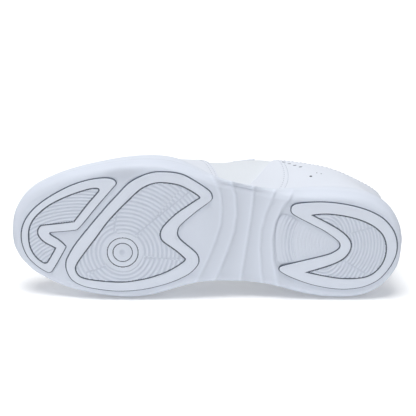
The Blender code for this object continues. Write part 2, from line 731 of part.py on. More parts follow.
TONGUE_TAPER = 0.012
TONGUE_DEPTH = BASE + LINING + LACE_BUNCHED + 4 * CLEARANCE + 0.8
TONGUE_TOP = ((0, 5.5, 3.2), (0, 11.5, 8.6), (0, 15.5, 14.5))


def tongue_section(station, columns):
    """The tongue's outer face across one station, from the medial side to the lateral side."""
    def hidden(s, height):
        return surface(s, height) - outward(s, height) * TONGUE_DEPTH

    edge = (surface(station, 1) + surface(-station, 1)) / 2
    middle = edge - Vector((0, 0, 2.2))
    medial = [hidden(-station, 0.74), hidden(-station, 0.92)]
    line = [*medial, middle, hidden(station, 0.92), hidden(station, 0.74)]
    return [Vector(p) for p in spaced(smooth_line([tuple(p) for p in line]), columns)]


def tongue():
    columns = 10
    sections = [tongue_section(s, columns) for s in (0.42, 0.44, 0.46, 0.49, 0.52, 0.55, 0.58, 0.61, 0.64)]
    last = sections[-1]
    for step in TONGUE_TOP:
        flare = 1 - TONGUE_TAPER * step[1]
        middle = last[columns // 2]
        sections.append([middle + (p - middle) * flare + Vector(step) for p in last])
    bm = bmesh.new()
    rings = []
    for i, section in enumerate(sections):
        next_middle = sections[min(i + 1, len(sections) - 1)][columns // 2]
        ahead = next_middle - sections[max(i - 1, 0)][columns // 2]
        ring, inner = [], []
        for k, point in enumerate(section):
            across = section[min(k + 1, columns)] - section[max(k - 1, 0)]
            normal = across.cross(ahead).normalized()
            thick = TONGUE * (0.35 + 0.65 * math.sin(math.pi * (0.12 + 0.76 * k / columns)))
            ring.append(bm.verts.new(point))
            inner.append(bm.verts.new(point - normal * thick))
        rings.append(ring + inner[::-1])
    bridge(bm, rings)
    bm.faces.new(rings[0])
    bm.faces.new(rings[-1])
    mesh_object("tongue", bm, WHITE_TEXTILE, origin=TONGUE_HINGE)


def lace():
    """One lace in straight bars up through the eyelets, with both ends tucked under the eyestays."""
    on_top = CLEARANCE + OVERLAY + CLEARANCE + LACE_THICK / 2 + 0.7
    under = below(BASE, LINING) - LACE_THICK / 2 - 0.6
    path = []

    def at(station, reach, depth, width):
        """Adds a path point, reach millimetres from an eyelet towards the throat, and its sideways."""
        throat = surface(station, 1)
        height = 1.0
        while (surface(station, height) - throat).length < EYELET_SETBACK - reach:
            height -= 0.004
        sideways = surface(abs(station) + 0.01, 1) - surface(abs(station) - 0.01, 1)
        point = surface(station, height) + outward(station, height) * depth
        path.append((*point, width, *sideways.normalized()))

    side = -1
    at(side * EYELET_STATIONS[0], -7, under, LACE_BUNCHED)
    for i, station in enumerate(EYELET_STATIONS):
        at(side * station, -0.3, under, LACE_BUNCHED)
        at(side * station, 0, -0.8, LACE_BUNCHED)
        at(side * station, 0.2, on_top + 0.2, LACE_BUNCHED)
        for end, reach, width in (
            (side, 3.5, 4.6), (side, 7, LACE_WIDTH), (-side, 7, LACE_WIDTH), (-side, 3.5, 4.6)
        ):
            at(end * station, reach, on_top + 0.3, width)
        at(-side * station, 0.2, on_top + 0.2, LACE_BUNCHED)
        at(-side * station, 0, -0.8, LACE_BUNCHED)
        at(-side * station, -0.3, under, LACE_BUNCHED)
        side = -side
        if i + 1 < len(EYELET_STATIONS):
            at(side * (station + EYELET_STATIONS[i + 1]) / 2, -1.2, under, LACE_BUNCHED)
    at(side * EYELET_STATIONS[-1], -7, under, LACE_BUNCHED)
    sweep("lace", smooth_line(path, 2))


def sweep(name, path):
    """A flat cord along a path of (x, y, z, width, sideways), rounder where it is narrow."""
    bm = bmesh.new()
    rings = []
    side = Vector(path[0][4:])
    for i, row in enumerate(path):
        point, width, hint = Vector(row[:3]), row[3], Vector(row[4:])
        ahead = (Vector(path[min(i + 1, len(path) - 1)][:3]) - Vector(path[max(i - 1, 0)][:3])).normalized()
        flat = hint - ahead * hint.dot(ahead)
        if flat.length > 0.5:
            side = flat
        side = (side - ahead * side.dot(ahead)).normalized()
        up = ahead.cross(side)
        rings.append([
            bm.verts.new(point + side * x * width / 2 + up * y * LACE_THICK / 2) for x, y in LACE_SECTION
        ])
    bridge(bm, rings)
    bm.faces.new(rings[0])
    bm.faces.new(rings[-1])
    mesh_object(name, bm, WHITE_COTTON)


def clear_scene():
    for old in list(bpy.data.objects):
        bpy.data.objects.remove(old, do_unlink=True)


def main():
    clear_scene()
    midsole()
    tread()
    footbed_plate("strobel_board", 0, CLEARANCE, BOARD, GREY_BOARD)
    footbed_plate("sockliner", SOCKLINER_EASE, 2 * CLEARANCE + BOARD, SOCKLINER, WHITE_TEXTILE)
    upper_panels()
    tongue()
    lace()


main()
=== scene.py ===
"""The looks of a white left cheer shoe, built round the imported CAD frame.

The toe points to -Y, the lateral side is +X and +Z is up. The shape is worked out in millimetres and
placed in metres. The upper is one smooth surface, given by a station (share of the way from the toe, 0, to
the heel, 1, negative on the medial side) and a height (0 at the sole, 1 on the top line), and every panel is
a patch of it.
"""

import json
import math

import bmesh
import bpy
import numpy as np
from mathutils import Matrix, Vector

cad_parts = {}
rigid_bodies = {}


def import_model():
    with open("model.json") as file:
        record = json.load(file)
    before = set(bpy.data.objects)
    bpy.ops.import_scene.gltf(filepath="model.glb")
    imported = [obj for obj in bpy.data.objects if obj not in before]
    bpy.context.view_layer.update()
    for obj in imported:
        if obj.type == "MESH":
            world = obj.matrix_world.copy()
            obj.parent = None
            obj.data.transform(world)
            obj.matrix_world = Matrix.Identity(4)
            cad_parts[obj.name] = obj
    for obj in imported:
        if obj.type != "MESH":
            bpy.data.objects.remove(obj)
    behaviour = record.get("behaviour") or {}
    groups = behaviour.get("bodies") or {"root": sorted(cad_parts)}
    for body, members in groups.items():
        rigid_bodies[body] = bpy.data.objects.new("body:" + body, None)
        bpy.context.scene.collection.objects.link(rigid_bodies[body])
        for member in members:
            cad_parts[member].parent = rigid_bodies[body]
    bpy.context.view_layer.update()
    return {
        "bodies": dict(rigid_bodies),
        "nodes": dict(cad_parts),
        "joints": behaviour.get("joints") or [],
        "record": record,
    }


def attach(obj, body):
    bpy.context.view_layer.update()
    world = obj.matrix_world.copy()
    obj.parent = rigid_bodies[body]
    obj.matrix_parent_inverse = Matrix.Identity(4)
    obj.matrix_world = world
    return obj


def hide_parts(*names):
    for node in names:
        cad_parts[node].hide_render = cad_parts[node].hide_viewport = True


MM = 0.001

# Sole
TOE_Y = -130.0
HEEL_Y = 130.0
TOE_SPRING = 13.0
TOE_SPRING_START_Y = -52.0
HEEL_BEVEL = 2.5
HEEL_BEVEL_START_Y = 96.0
TREAD_PROUD = 1.2
GROOVE = 0.9
PIVOT = (-14.3, -56.4)
PIVOT_RADIUS = 10.3
ARCH_Y = 24.0
ARCH_HALF_LENGTH = 30.0
ARCH_LIFT = 2.6
RIM_WALL = 2.4
RIM_TOP_INSET = 2.0

# Upper, from the outside in
CLEARANCE = 0.5
OVERLAY = 1.2
BASE = 1.6
LINING = 1.2
LINING_SLACK = 0.2
STIFFENER = 1.2
COLLAR_PAD = 5.0
TONGUE = 4.0
OVERLAY_START = 0.7
UPPER_INSET = RIM_TOP_INSET + RIM_WALL + 2 * CLEARANCE
BOARD = 1.6
SOCKLINER = 4.0
SOCKLINER_EASE = 2.4
VAMP_END = 0.40
QUARTER_START = 0.404
TOP_GAP = 0.02
STAY_START = 0.425
STAY_END = 0.66
COLLAR_START = 0.706
COLLAR_FOOT = 0.63

# Lacing
EYELET_STATIONS = (0.465, 0.497, 0.529, 0.561, 0.593, 0.625)
EYELET_SETBACK = 7.0
EYELET_RADIUS = 2.3
LACE_WIDTH = 6.0
LACE_THICK = 1.2
LACE_BUNCHED = 2.0

TONGUE_TAPER = 0.012
TONGUE_DEPTH = BASE + LINING + LACE_BUNCHED + 4 * CLEARANCE + 0.8
TONGUE_TOP = ((0, 5.5, 3.2), (0, 11.5, 8.6), (0, 15.5, 14.5))

OUTLINE_LATERAL = (
    (-6, -130), (7, -128.5), (18, -123.3), (26.4, -115.5), (33, -104.7), (38.4, -93), (42.7, -80),
    (46, -66), (48, -52), (48.45, -38), (46.8, -24), (42.5, -10), (37.5, 4), (34, 17), (31, 31),
    (28.3, 44), (27, 58), (27, 74), (26.6, 89), (24.4, 102.5), (19.8, 113.5), (12, 122.6),
    (1.5, 128.2), (-9, 130),
)
OUTLINE_MEDIAL = (
    (-6, -130), (-15, -128.9), (-22.5, -125.4), (-28.5, -120.2), (-33.2, -114.5), (-38.2, -104.7),
    (-42.3, -94), (-45.4, -81), (-47.6, -67), (-48.5, -52), (-47.2, -38), (-43.6, -25),
    (-39.8, -13), (-37.4, -1), (-36.8, 13), (-37.2, 27), (-39.5, 42), (-44, 57), (-47.4, 72),
    (-48.5, 87), (-47.4, 101), (-42.5, 113.5), (-34, 122.6), (-24, 127.9), (-9, 130),
)

# Tread outlines
TOE_RIM = (
    (34.4, -61), (37, -63.4), (37.5, -69.6), (35.7, -79.4), (31.1, -91.1), (23.2, -103.8),
    (15, -113.5), (7.6, -119.4), (0.6, -122.7), (-6.4, -123.8), (-13.6, -122.8), (-21, -119.4),
    (-26.6, -113.5), (-30, -107.8), (-30.4, -105), (-27.4, -102.6), (-13.4, -95.3),
    (-11.3, -95.2), (-7.6, -99.2), (-4.7, -104.3), (-3, -105.3), (-1.9, -104), (0.4, -90.2),
    (2.9, -85.3), (17.2, -74.5), (30.4, -64),
)
TOE_FIELD = (
    (31.2, -73), (31, -77), (29, -83.3), (24.4, -94), (17.3, -105.7), (9.1, -114.2), (2, -118.4),
    (-6, -119.7), (-14.8, -118.4), (-21, -114.6), (-24.5, -109.9), (-24.7, -107.2),
    (-22.6, -105.5), (-13.6, -100.9), (-12.4, -101.6), (-9, -108.4), (-5.4, -111.9),
    (-2.1, -112.7), (1, -111.2), (2.3, -107.8), (5.8, -89.8), (7.2, -87.8), (19, -79.4),
    (27.8, -72.4), (30.2, -71.8),
)
BALL_RIM = (
    (42.1, -30), (41.6, -22.4), (40, -16), (37.1, -10.6), (32.9, -4.2), (28.9, 0.9), (25.6, 2.8),
    (22.3, 1.9), (15, -7.4), (5.5, -17.8), (1.2, -20), (-2.8, -19.9), (-7, -16.8), (-14.6, -8.2),
    (-19.6, -6), (-23.9, -7.2), (-29.4, -12.5), (-34.4, -22), (-38.4, -34), (-40.9, -47),
    (-41.6, -60.5), (-40.4, -73.5), (-38.6, -83), (-34.8, -90), (-28.8, -93.4), (-23.4, -93.9),
    (-18.6, -92.4), (-7.5, -86), (14.2, -69.6), (25.8, -59.8), (34.2, -52), (39.2, -43.6),
    (41.7, -36.4),
)
BALL_FIELD = (
    (35.6, -29), (34.3, -20.1), (31.6, -13.8), (27.6, -7.4), (25.2, -4.7), (23.6, -5),
    (22.3, -7.2), (13, -20.1), (5.4, -27.6), (1.2, -30.3), (-2.8, -30.8), (-6.4, -28.8),
    (-12.4, -20.9), (-17.8, -15), (-19.6, -14.3), (-22.4, -16.9), (-28.4, -26.5), (-33, -39),
    (-35.5, -52), (-35.9, -62), (-35.1, -74.4), (-33.9, -82.6), (-31.4, -86.6), (-27.2, -88.4),
    (-22.8, -87.2), (-15.2, -82.4), (-3.7, -74.4), (10.1, -64.7), (27.2, -48.8), (32.6, -42),
    (35.2, -35.4),
)
HEEL_RIM = (
    (15.6, 56.1), (18.4, 57.2), (19.9, 61.6), (20.7, 71), (20.6, 80), (19.6, 89), (17.6, 98.6),
    (14.3, 108), (9.2, 116.6), (2.4, 122.5), (-4.4, 125.5), (-11.4, 126.3), (-18.6, 124.9),
    (-26.6, 120.6), (-34.1, 113.6), (-38.5, 104), (-40.1, 93.3), (-39.6, 82.6), (-36.7, 69),
    (-31.8, 56.2), (-27.8, 49.2), (-25.9, 48.4), (-24.4, 50.6), (-21.6, 61), (-16.9, 79.2),
    (-14.4, 85), (-12, 88), (-9.4, 88.9), (-5.8, 87.3), (0.9, 78.7), (6.1, 69.4), (10.8, 60.8),
    (13.4, 57.1),
)
HEEL_FIELD = (
    (12.6, 70), (13.4, 79), (12.5, 88.6), (10.4, 98), (7.4, 106), (3, 113), (-2.8, 117.8),
    (-10, 119.8), (-18, 119.1), (-25.3, 115.6), (-30.8, 109.5), (-33.1, 101.5), (-33.3, 89),
    (-31.3, 77), (-28.9, 66.4), (-28, 66.4), (-25.2, 75.4), (-21.4, 85.5), (-17.6, 91.5),
    (-12.8, 94.8), (-8.4, 95.5), (-4.1, 93.6), (1, 88.2), (6.7, 79), (11.4, 70.4),
)

ARCH_FIELD = (
    (-10, 84.6), (-12.6, 82), (-15.2, 75.5), (-19.4, 61), (-22.3, 50.5), (-21.4, 47.6),
    (-18, 46.4), (-6, 45.2), (6, 46.6), (11.4, 49), (12.2, 52), (10, 57.6), (3, 67), (-3.8, 78),
    (-7.4, 83.2),
)

# Heights along the shoe, as (y, height) or (y, share)
FOOTBED = (
    (-130, 21), (-110, 15.4), (-85, 11.2), (-55, 9), (0, 8), (27, 8), (45, 9.6), (62, 12),
    (80, 13.4), (130, 14),
)
RIM_LATERAL = (
    (-130, 27.5), (-113, 25), (-87, 21.2), (-68, 20.2), (-42, 22), (-20, 23.6), (-8, 19),
    (6, 12.4), (20, 9.6), (32, 9.8), (46, 13), (60, 18.4), (74, 20), (130, 22.5),
)
RIM_MEDIAL = (
    (-130, 27.5), (-113, 25), (-87, 21.2), (-68, 20.2), (-42, 21.5), (-20, 22), (0, 18),
    (20, 15.4), (40, 16.4), (60, 19), (74, 20), (130, 22.5),
)
EDGE_INSET_LATERAL = ((-130, 5), (-40, 4.6), (0, 5), (24, 6), (50, 5.4), (80, 5), (130, 4.4))
EDGE_INSET_MEDIAL = ((-130, 5), (-60, 5.6), (-10, 6.2), (22, 8.6), (48, 7), (80, 6), (130, 4.4))

# The upper's top line: along the ridge of the toe box as (station, x, y, z), and from there on as
# (station, lateral x, medial x, y, z)
RIDGE = (
    (0.00, -7, -109, 39.5), (0.10, -6.4, -105, 41.4), (0.20, -4.6, -90, 44.6),
    (0.30, -2.6, -68, 49.6), (0.37, -1.4, -53, 55), (0.40, -1, -47, 57.4),
)
TOP_LINE = (
    (0.40, -1, -1, -47, 57.4), (0.43, 6.6, -8.6, -44, 58.4), (0.46, 9.6, -11.8, -36, 61.5),
    (0.50, 10.4, -13.4, -22, 67.6), (0.57, 11.4, -16, 0, 77), (0.64, 13, -19, 21, 86.5),
    (0.68, 17.6, -24.4, 33, 83.5), (0.73, 22.6, -32.4, 48, 74), (0.79, 24.4, -38.6, 64, 66),
    (0.85, 22.4, -40.2, 82, 62), (0.91, 14.6, -35.2, 99, 63.5), (0.96, 3, -24, 113.4, 71),
    (1.0, -10.5, -10.5, 118, 76),
)
TOP_LATERAL = [(station, lateral, y, z) for station, lateral, medial, y, z in TOP_LINE]
TOP_MEDIAL = [(station, medial, y, z) for station, lateral, medial, y, z in TOP_LINE]
FOOT_SWELL = 0.3
# How the joining curve leaves the sole and meets the top line, as (station, rise, reach, drop, swell in mm)
FULLNESS = (
    (0.0, 0.66, 0.72, 0.0, 0), (0.2, 0.64, 0.66, 0.0, 0), (0.37, 0.6, 0.62, 0.0, 0.5),
    (0.44, 0.56, 0.72, 0.08, 2), (0.52, 0.52, 0.86, 0.13, 4), (0.57, 0.5, 0.88, 0.14, 5),
    (0.62, 0.48, 0.8, 0.16, 7.5), (0.66, 0.45, 0.6, 0.2, 9), (0.70, 0.42, 0.4, 0.26, 7.5),
    (0.75, 0.4, 0.16, 0.32, 4.5), (0.85, 0.4, 0.05, 0.36, 1.5), (1.0, 0.4, 0.0, 0.4, 0),
)


def hermite(p0, p1, p2, p3, t):
    """A point on the smooth curve from p1 to p2, at share t."""
    return tuple(
        0.5 * (2 * b + (c - a) * t + (2 * a - 5 * b + 4 * c - d) * t * t + (3 * b - a - 3 * c + d) * t**3)
        for a, b, c, d in zip(p0, p1, p2, p3)
    )


def smooth_loop(points, steps=3):
    """A closed smooth curve through the points."""
    n = len(points)
    return [
        hermite(points[i - 1], points[i], points[(i + 1) % n], points[(i + 2) % n], k / steps)
        for i in range(n)
        for k in range(steps)
    ]


def smooth_line(points, steps=6):
    """An open smooth curve through the points."""
    padded = [points[0], *points, points[-1]]
    line = [
        hermite(*padded[i:i + 4], k / steps)
        for i in range(len(points) - 1)
        for k in range(steps)
    ]
    return [*line, tuple(points[-1])]


def spaced(line, count):
    """count + 1 points along a line, equally far apart."""
    lengths = [0.0]
    for a, b in zip(line, line[1:]):
        lengths.append(lengths[-1] + math.dist(a, b))
    found, i = [], 0
    for k in range(count + 1):
        target = lengths[-1] * k / count
        while i < len(line) - 2 and lengths[i + 1] < target:
            i += 1
        share = (target - lengths[i]) / (lengths[i + 1] - lengths[i])
        found.append(tuple(a + (b - a) * share for a, b in zip(line[i], line[i + 1])))
    return found


def eased(table, t):
    """The values at t in a table of rows (t, value, ...), with smooth joins between the rows."""
    rows = [tuple(row) for row in table]
    t = min(max(t, rows[0][0]), rows[-1][0])
    i = max(k for k in range(len(rows) - 1) if rows[k][0] <= t)
    before, start, end, after = rows[max(i - 1, 0)], rows[i], rows[i + 1], rows[min(i + 2, len(rows) - 1)]
    span = end[0] - start[0]
    share = (t - start[0]) / span
    values = []
    for a, b, c, d in zip(before[1:], start[1:], end[1:], after[1:]):
        slope_b = (c - a) / (end[0] - before[0]) * span
        slope_c = (d - b) / (after[0] - start[0]) * span
        h = share
        values.append(
            (2 * h**3 - 3 * h**2 + 1) * b + (h**3 - 2 * h**2 + h) * slope_b
            + (3 * h**2 - 2 * h**3) * c + (h**3 - h**2) * slope_c
        )
    return values


def grown(loop, distance):
    """A closed outline moved out by a distance or a function of (x, y), or in if it is negative."""
    n = len(loop)
    area = sum(loop[i - 1][0] * loop[i][1] - loop[i][0] * loop[i - 1][1] for i in range(n))
    turn = 1 if area > 0 else -1
    moved = []
    for i in range(n):
        along = Vector(loop[(i + 1) % n][:2]) - Vector(loop[i - 1][:2])
        out = Vector((along.y, -along.x)).normalized() * turn
        by = distance(*loop[i][:2]) if callable(distance) else distance
        moved.append((loop[i][0] + out.x * by, loop[i][1] + out.y * by))
    return moved


def gap_to(point, loop):
    """The distance from a point to a closed outline."""
    nearest = math.inf
    for a, b in zip(loop, [*loop[1:], loop[0]]):
        line = (b[0] - a[0], b[1] - a[1])
        share = ((point[0] - a[0]) * line[0] + (point[1] - a[1]) * line[1]) / (line[0] ** 2 + line[1] ** 2)
        share = min(max(share, 0), 1)
        nearest = min(nearest, math.dist(point, (a[0] + line[0] * share, a[1] + line[1] * share)))
    return nearest


def shrunk(loop, distance):
    """A closed outline moved in, without the points that its sharp corners would cross over."""
    return [p for p in grown(loop, -distance) if gap_to(p, loop) > 0.97 * distance]


def lift(y):
    """How far the tread curves up off the ground at the toe and the heel, for a number or an array."""
    toe = np.maximum(0.0, (TOE_SPRING_START_Y - y) / (TOE_SPRING_START_Y - TOE_Y))
    heel = np.maximum(0.0, (y - HEEL_BEVEL_START_Y) / (HEEL_Y - HEEL_BEVEL_START_Y))
    return TOE_SPRING * toe**2 + HEEL_BEVEL * heel**2


def sole_bottom(y):
    """The midsole's underside, which the tread stands proud of, with the raised waist."""
    share = min(abs(y - ARCH_Y) / ARCH_HALF_LENGTH, 1.0)
    return lift(y) + TREAD_PROUD + ARCH_LIFT * (0.5 + 0.5 * math.cos(math.pi * share))


def footbed(y):
    return eased(FOOTBED, y)[0]


def sole_outline(count):
    """The sole's outline as 2 * count points: toe tip, lateral side, heel, medial side."""
    lateral = spaced(smooth_line(OUTLINE_LATERAL), count)
    medial = spaced(smooth_line(OUTLINE_MEDIAL), count)
    return lateral[:-1] + medial[:0:-1]


def bite_line():
    """Where the upper meets the footbed, as one fine line a side, from the toe to the heel."""
    count = 60
    loop = grown(sole_outline(count), -UPPER_INSET)
    loop = [(x, y, footbed(y) + CLEARANCE) for x, y in loop]
    return loop[:count + 1], [loop[0], *loop[:count - 1:-1]]


BITE_LATERAL, BITE_MEDIAL = bite_line()


def along(line, share):
    at = min(max(share, 0.0), 1.0) * (len(line) - 1)
    i = min(int(at), len(line) - 2)
    return Vector(line[i]).lerp(Vector(line[i + 1]), at - i)


def surface(station, height):
    """A point of the upper's outer surface. height is 0 at the sole and 1 on the top line.

    Stations run on round the heel, so 1.2 is the same as -0.8.
    """
    station = (station + 1) % 2 - 1
    lateral, share = station >= 0, abs(station)
    foot = along(BITE_LATERAL if lateral else BITE_MEDIAL, share)
    line = RIDGE if share <= VAMP_END else TOP_LATERAL if lateral else TOP_MEDIAL
    top = Vector(eased(line, share))
    rise, reach, drop, swell = eased(FULLNESS, share)
    swell = swell if lateral else -swell
    tall = top.z - foot.z
    aside = Vector((foot.x - top.x, foot.y - top.y, 0))
    first = foot + Vector((FOOT_SWELL * swell, 0, rise * tall))
    second = top + aside * reach + Vector(((2 - FOOT_SWELL) * swell, 0, -drop * tall))
    h, g = height, 1 - height
    return foot * g**3 + first * (3 * g * g * h) + second * (3 * g * h * h) + top * h**3


def outward(station, height):
    """The surface's unit normal, pointing out of the shoe."""
    step = 0.004
    low, high = max(height - step, 0.0), min(height + step, 1.0)
    up = surface(station, high) - surface(station, low)
    back = surface(station + step, height) - surface(station - step, height)
    return back.cross(up).normalized()


def bridge(bm, rings, closed=True):
    """Faces between rings of vertices, all the same length."""
    count = len(rings[0])
    for low, high in zip(rings, rings[1:]):
        for i in range(count if closed else count - 1):
            j = (i + 1) % count
            bm.faces.new((low[i], low[j], high[j], high[i]))


def circle(centre, radius, count=24):
    return [
        (
            centre[0] + radius * math.cos(2 * math.pi * i / count),
            centre[1] + radius * math.sin(2 * math.pi * i / count),
        )
        for i in range(count)
    ]


def patch_edge(rows, merge_ridge):
    """The vertices round a patch in order, or round all but its ridge, where its two sides meet."""
    round_the_foot = rows[0][:0:-1] + [row[0] for row in rows] + rows[-1][1:]
    return round_the_foot if merge_ridge else round_the_foot + [row[-1] for row in rows[-2:0:-1]]


def shares(low, high, count):
    return [low + (high - low) * i / count for i in range(count + 1)]


def value(given, at):
    return given(at) if callable(given) else given


def panel_grid(front, back, low, high, columns, rows):
    """A grid between two stations, which may depend on the height's share, and two heights.

    The heights may depend on the station.
    """
    grid = []
    for a in shares(0, 1, columns):
        line = []
        for b in shares(0, 1, rows):
            station = value(front, b) * (1 - a) + value(back, b) * a
            line.append((station, value(low, station) * (1 - b) + value(high, station) * b))
        grid.append(line)
    return grid


def rim_height(station):
    x, y, z = surface(station, 0)
    lateral = (station + 1) % 2 >= 1
    return max(eased(RIM_LATERAL if lateral else RIM_MEDIAL, y)[0], z)


def above_rim(station):
    """The height's share just above the sole's rim, where a layer outside the surface may start."""
    low, high = 0.0, 0.9
    for _ in range(14):
        middle = (low + high) / 2
        if surface(station, middle).z < rim_height(station) + OVERLAY_START:
            low = middle
        else:
            high = middle
    return high


def below(*layers):
    """The depth of the outer face of a layer that lies under others, with a clearance between them."""
    return -sum(layers) - CLEARANCE * len(layers)


def stay_foot(station):
    """The height of an eyestay's lower edge, narrowing towards the ankle."""
    return 0.74 + 0.08 * min(1, max(0, (station - 0.46) / 0.14))


def heel_front(share):
    """The station of the heel overlay's front edge, leaning back from the sole."""
    return 0.60 + 0.125 * share


def eyelet(station):
    """The middle of an eyelet hole, the way out through it, and the way to the throat from it."""
    throat = surface(station, 1)
    height = 1.0
    while (surface(station, height) - throat).length < EYELET_SETBACK:
        height -= 0.005
    centre = surface(station, height)
    across = (throat - centre).normalized()
    normal = outward(station, height)
    return centre, (normal - across * normal.dot(across)).normalized(), across


def tongue_section(station, columns):
    """The tongue's outer face across one station, from the medial side to the lateral side."""
    def hidden(s, height):
        return surface(s, height) - outward(s, height) * TONGUE_DEPTH

    edge = (surface(station, 1) + surface(-station, 1)) / 2
    middle = edge - Vector((0, 0, 2.2))
    medial = [hidden(-station, 0.74), hidden(-station, 0.92)]
    line = [*medial, middle, hidden(station, 0.92), hidden(station, 0.74)]
    return [Vector(p) for p in spaced(smooth_line([tuple(p) for p in line]), columns)]


# ---------------------------------------------------------------- photograph's view

VIEW_TILT = math.radians(20)
VIEW_DISTANCE = 8.0
VIEW_WIDTH = 0.277
VIEW_CENTRE = (0.0173, 0.0005, 0.0)
SENSOR = 36.0

# The overlays' outer face, and their thickness, which reaches down to the surface under them
VISIBLE_OVERLAY = CLEARANCE + OVERLAY - 0.3
VISIBLE_THICK = OVERLAY + 0.35
TONGUE_GAP = 1.3
TONGUE_THICK = TONGUE - 1.8
HEEL_COVER_TOP = 0.93
FOREFOOT_TOP = 0.70

# The toe cap's upper edge: a curve over stations up to its span, falling from its top to its foot
CAP_SPAN = 0.31
CAP_TOP = 0.80
CAP_FALL = 0.40

# A panel's own measure of a station and a height, in mm, for its weave
WEAVE_ALONG = 300
WEAVE_UP = 62

# The midsole's widest line, as a share of the way up to its rim. Its rings below that line, as (share of the
# underside's inset, rise in mm, share of the way up to the line), and above it, as (outset in mm, share of
# the way up to the rim)
WIDEST = 0.42
UNDER_RINGS = ((1, 0, 0), (0.7, 0.3, 0), (0.42, 1.2, 0), (0.2, 0, 0.45), (0.04, 0, 0.8))
SIDE_RINGS = (
    (0, 0.0), (0, 0.045), (0, 0.09), (-0.25, 0.35), (-0.8, 0.7), (-1.4, 0.94), (-2.1, 1.0),
)

# Tread pattern
RIB_STEP = 0.34
RIB_DEPTH = 0.32
BORDER = 0.85
DIVIDER_HALF = 0.45
BALL_PITCH = 2.9
PIVOT_BAND = 13.6
BALL_SECTORS = (-15, 41, 99, 233)
BALL_DIVIDERS = (
    ((-1.7, -47.6), (28.5, -12)), ((-18.3, -41.7), (-18.3, -17.3)), ((-24.5, -68), (-29.2, -80.4)),
    ((0.9, -62.3), (12.3, -60.3)),
)
TOE_CENTRE = (-48.7, -82.7)
TOE_PITCH = 2.3
HEEL_DIVIDERS = (((-0.2, 97.2), (3.6, 111.2)), ((-20.6, 92), (-29.3, 105.7)))
HEEL_CENTRES = ((-1, 77.5), (-8.5, 80), (-18, 77.5))
HEEL_PITCHES = (2.4, 2.17, 2.4)
ARCH_CENTRE = (-9, 88.6)
ARCH_PITCH = 2.36

# Terraces across the waist, each a line of (x, y) from the medial to the lateral side
TERRACES = (
    (
        (-50, -14), (-29.8, -4.5), (-21, 0), (-8, 5.1), (4.2, 8.9), (16.4, 9.9), (26.5, 8.9), (34.6, 5.7),
        (50, -6),
    ),
    (
        (-50, -2), (-27.7, 8.3), (-12.8, 14), (-1.3, 17.8), (10.9, 19.4), (24.5, 18.8), (32.6, 16.6),
        (50, 11),
    ),
    ((-50, 20), (-26.4, 23.6), (-6.7, 26.8), (10.9, 29.3), (28.6, 30.9), (50, 32)),
    ((-50, 38), (-28.3, 36), (-12.8, 35), (0.8, 36), (12.3, 38.9), (24.5, 43.6), (50, 56)),
    (
        (-50, 49), (-31.7, 46.2), (-19.6, 43.9), (-6, 43.4), (5.5, 45.2), (16.4, 49.7), (23.8, 55.1),
        (50, 72),
    ),
)
TERRACE_STEP = 1.1
TERRACE_EDGE = 1.2
# Painted shade in each terrace's recess, and the strength of a painted highlight on the lip before each
# terrace line
TERRACE_SHADE = (0.35, 0.5, 0.5, 0.35, 0.2)
TERRACE_LIP_HIGHLIGHT = 0.22
# The strength of a thin line of painted shade along the forefoot's sidewall
SIDE_SHADE_LINE = 0.45
FORE_HOLLOW = (39.0, -56.0, 6.0, 11.0)


# ---------------------------------------------------------------- meshes

def placed(name, data):
    """A new object in the scene."""
    made = bpy.data.objects.new(name, data)
    bpy.context.scene.collection.objects.link(made)
    return made


def raised(station, height, depth):
    """A point above the upper's surface, or inside it if the depth is negative."""
    return surface(station, height) + outward(station, height) * depth


def mesh_of(name, bm):
    """A mesh in metres from a bmesh in millimetres, which is used up."""
    bmesh.ops.recalc_face_normals(bm, faces=bm.faces)
    bmesh.ops.scale(bm, vec=(MM, MM, MM), verts=bm.verts)
    mesh = bpy.data.meshes.new(name)
    bm.to_mesh(mesh)
    bm.free()
    return mesh


def map_panel(bm, where):
    """Gives every vertex its place on its panel, which the woven materials follow."""
    uv = bm.loops.layers.uv["Panel"]
    for face in bm.faces:
        for loop in face.loops:
            loop[uv].uv = where[loop.vert]


def tube(bm, rings):
    """Faces between rings of vertices, closed at both ends."""
    bridge(bm, rings)
    bm.faces.new(rings[0])
    bm.faces.new(rings[-1])


def make(name, verts, faces, look, replaces=(), body="shoe", smooth=40, uv=None, shade=None):
    """A piece of the shoe from vertices in millimetres. shade is a number for each vertex, which its material
    turns into painted shade and painted highlights.
    """
    mesh = bpy.data.meshes.new(name)
    mesh.from_pydata([tuple(c * MM for c in v) for v in verts], [], [tuple(f) for f in faces])
    mesh.update()
    if uv is not None:
        layer = mesh.uv_layers.new(name="Panel")
        flat = np.array([uv[loop.vertex_index] for loop in mesh.loops], np.float32)
        layer.data.foreach_set("uv", flat.ravel())
    if shade is not None:
        attribute = mesh.attributes.new("shade", "FLOAT", "POINT")
        attribute.data.foreach_set("value", np.array(shade, np.float32))
    return dress(placed(name, mesh), look, replaces, body, smooth)


def dress(piece, look, replaces=(), body="shoe", smooth=40):
    piece.data.materials.clear()
    piece.data.materials.append(look)
    piece.data.shade_smooth()
    if smooth:
        piece.data.set_sharp_from_angle(angle=math.radians(smooth))
    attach(piece, body)
    if replaces:
        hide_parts(*replaces)
    return piece


def make_from(name, bm, look, replaces=(), body="shoe", smooth=40):
    """A piece from a bmesh in millimetres."""
    bmesh.ops.remove_doubles(bm, verts=bm.verts, dist=0.001)
    return dress(placed(name, mesh_of(name, bm)), look, replaces, body, smooth)


def soften(piece, width, segments=2):
    """Rounds a piece's hard edges."""
    bevel = piece.modifiers.new("soften", "BEVEL")
    bevel.width = width * MM
    bevel.segments = segments
    bevel.limit_method = "ANGLE"
    bevel.angle_limit = math.radians(50)
    return piece


def bake(piece):
    """Applies a piece's modifiers."""
    made = piece.evaluated_get(bpy.context.evaluated_depsgraph_get())
    mesh = bpy.data.meshes.new_from_object(made)
    piece.modifiers.clear()
    piece.data = mesh
    return piece


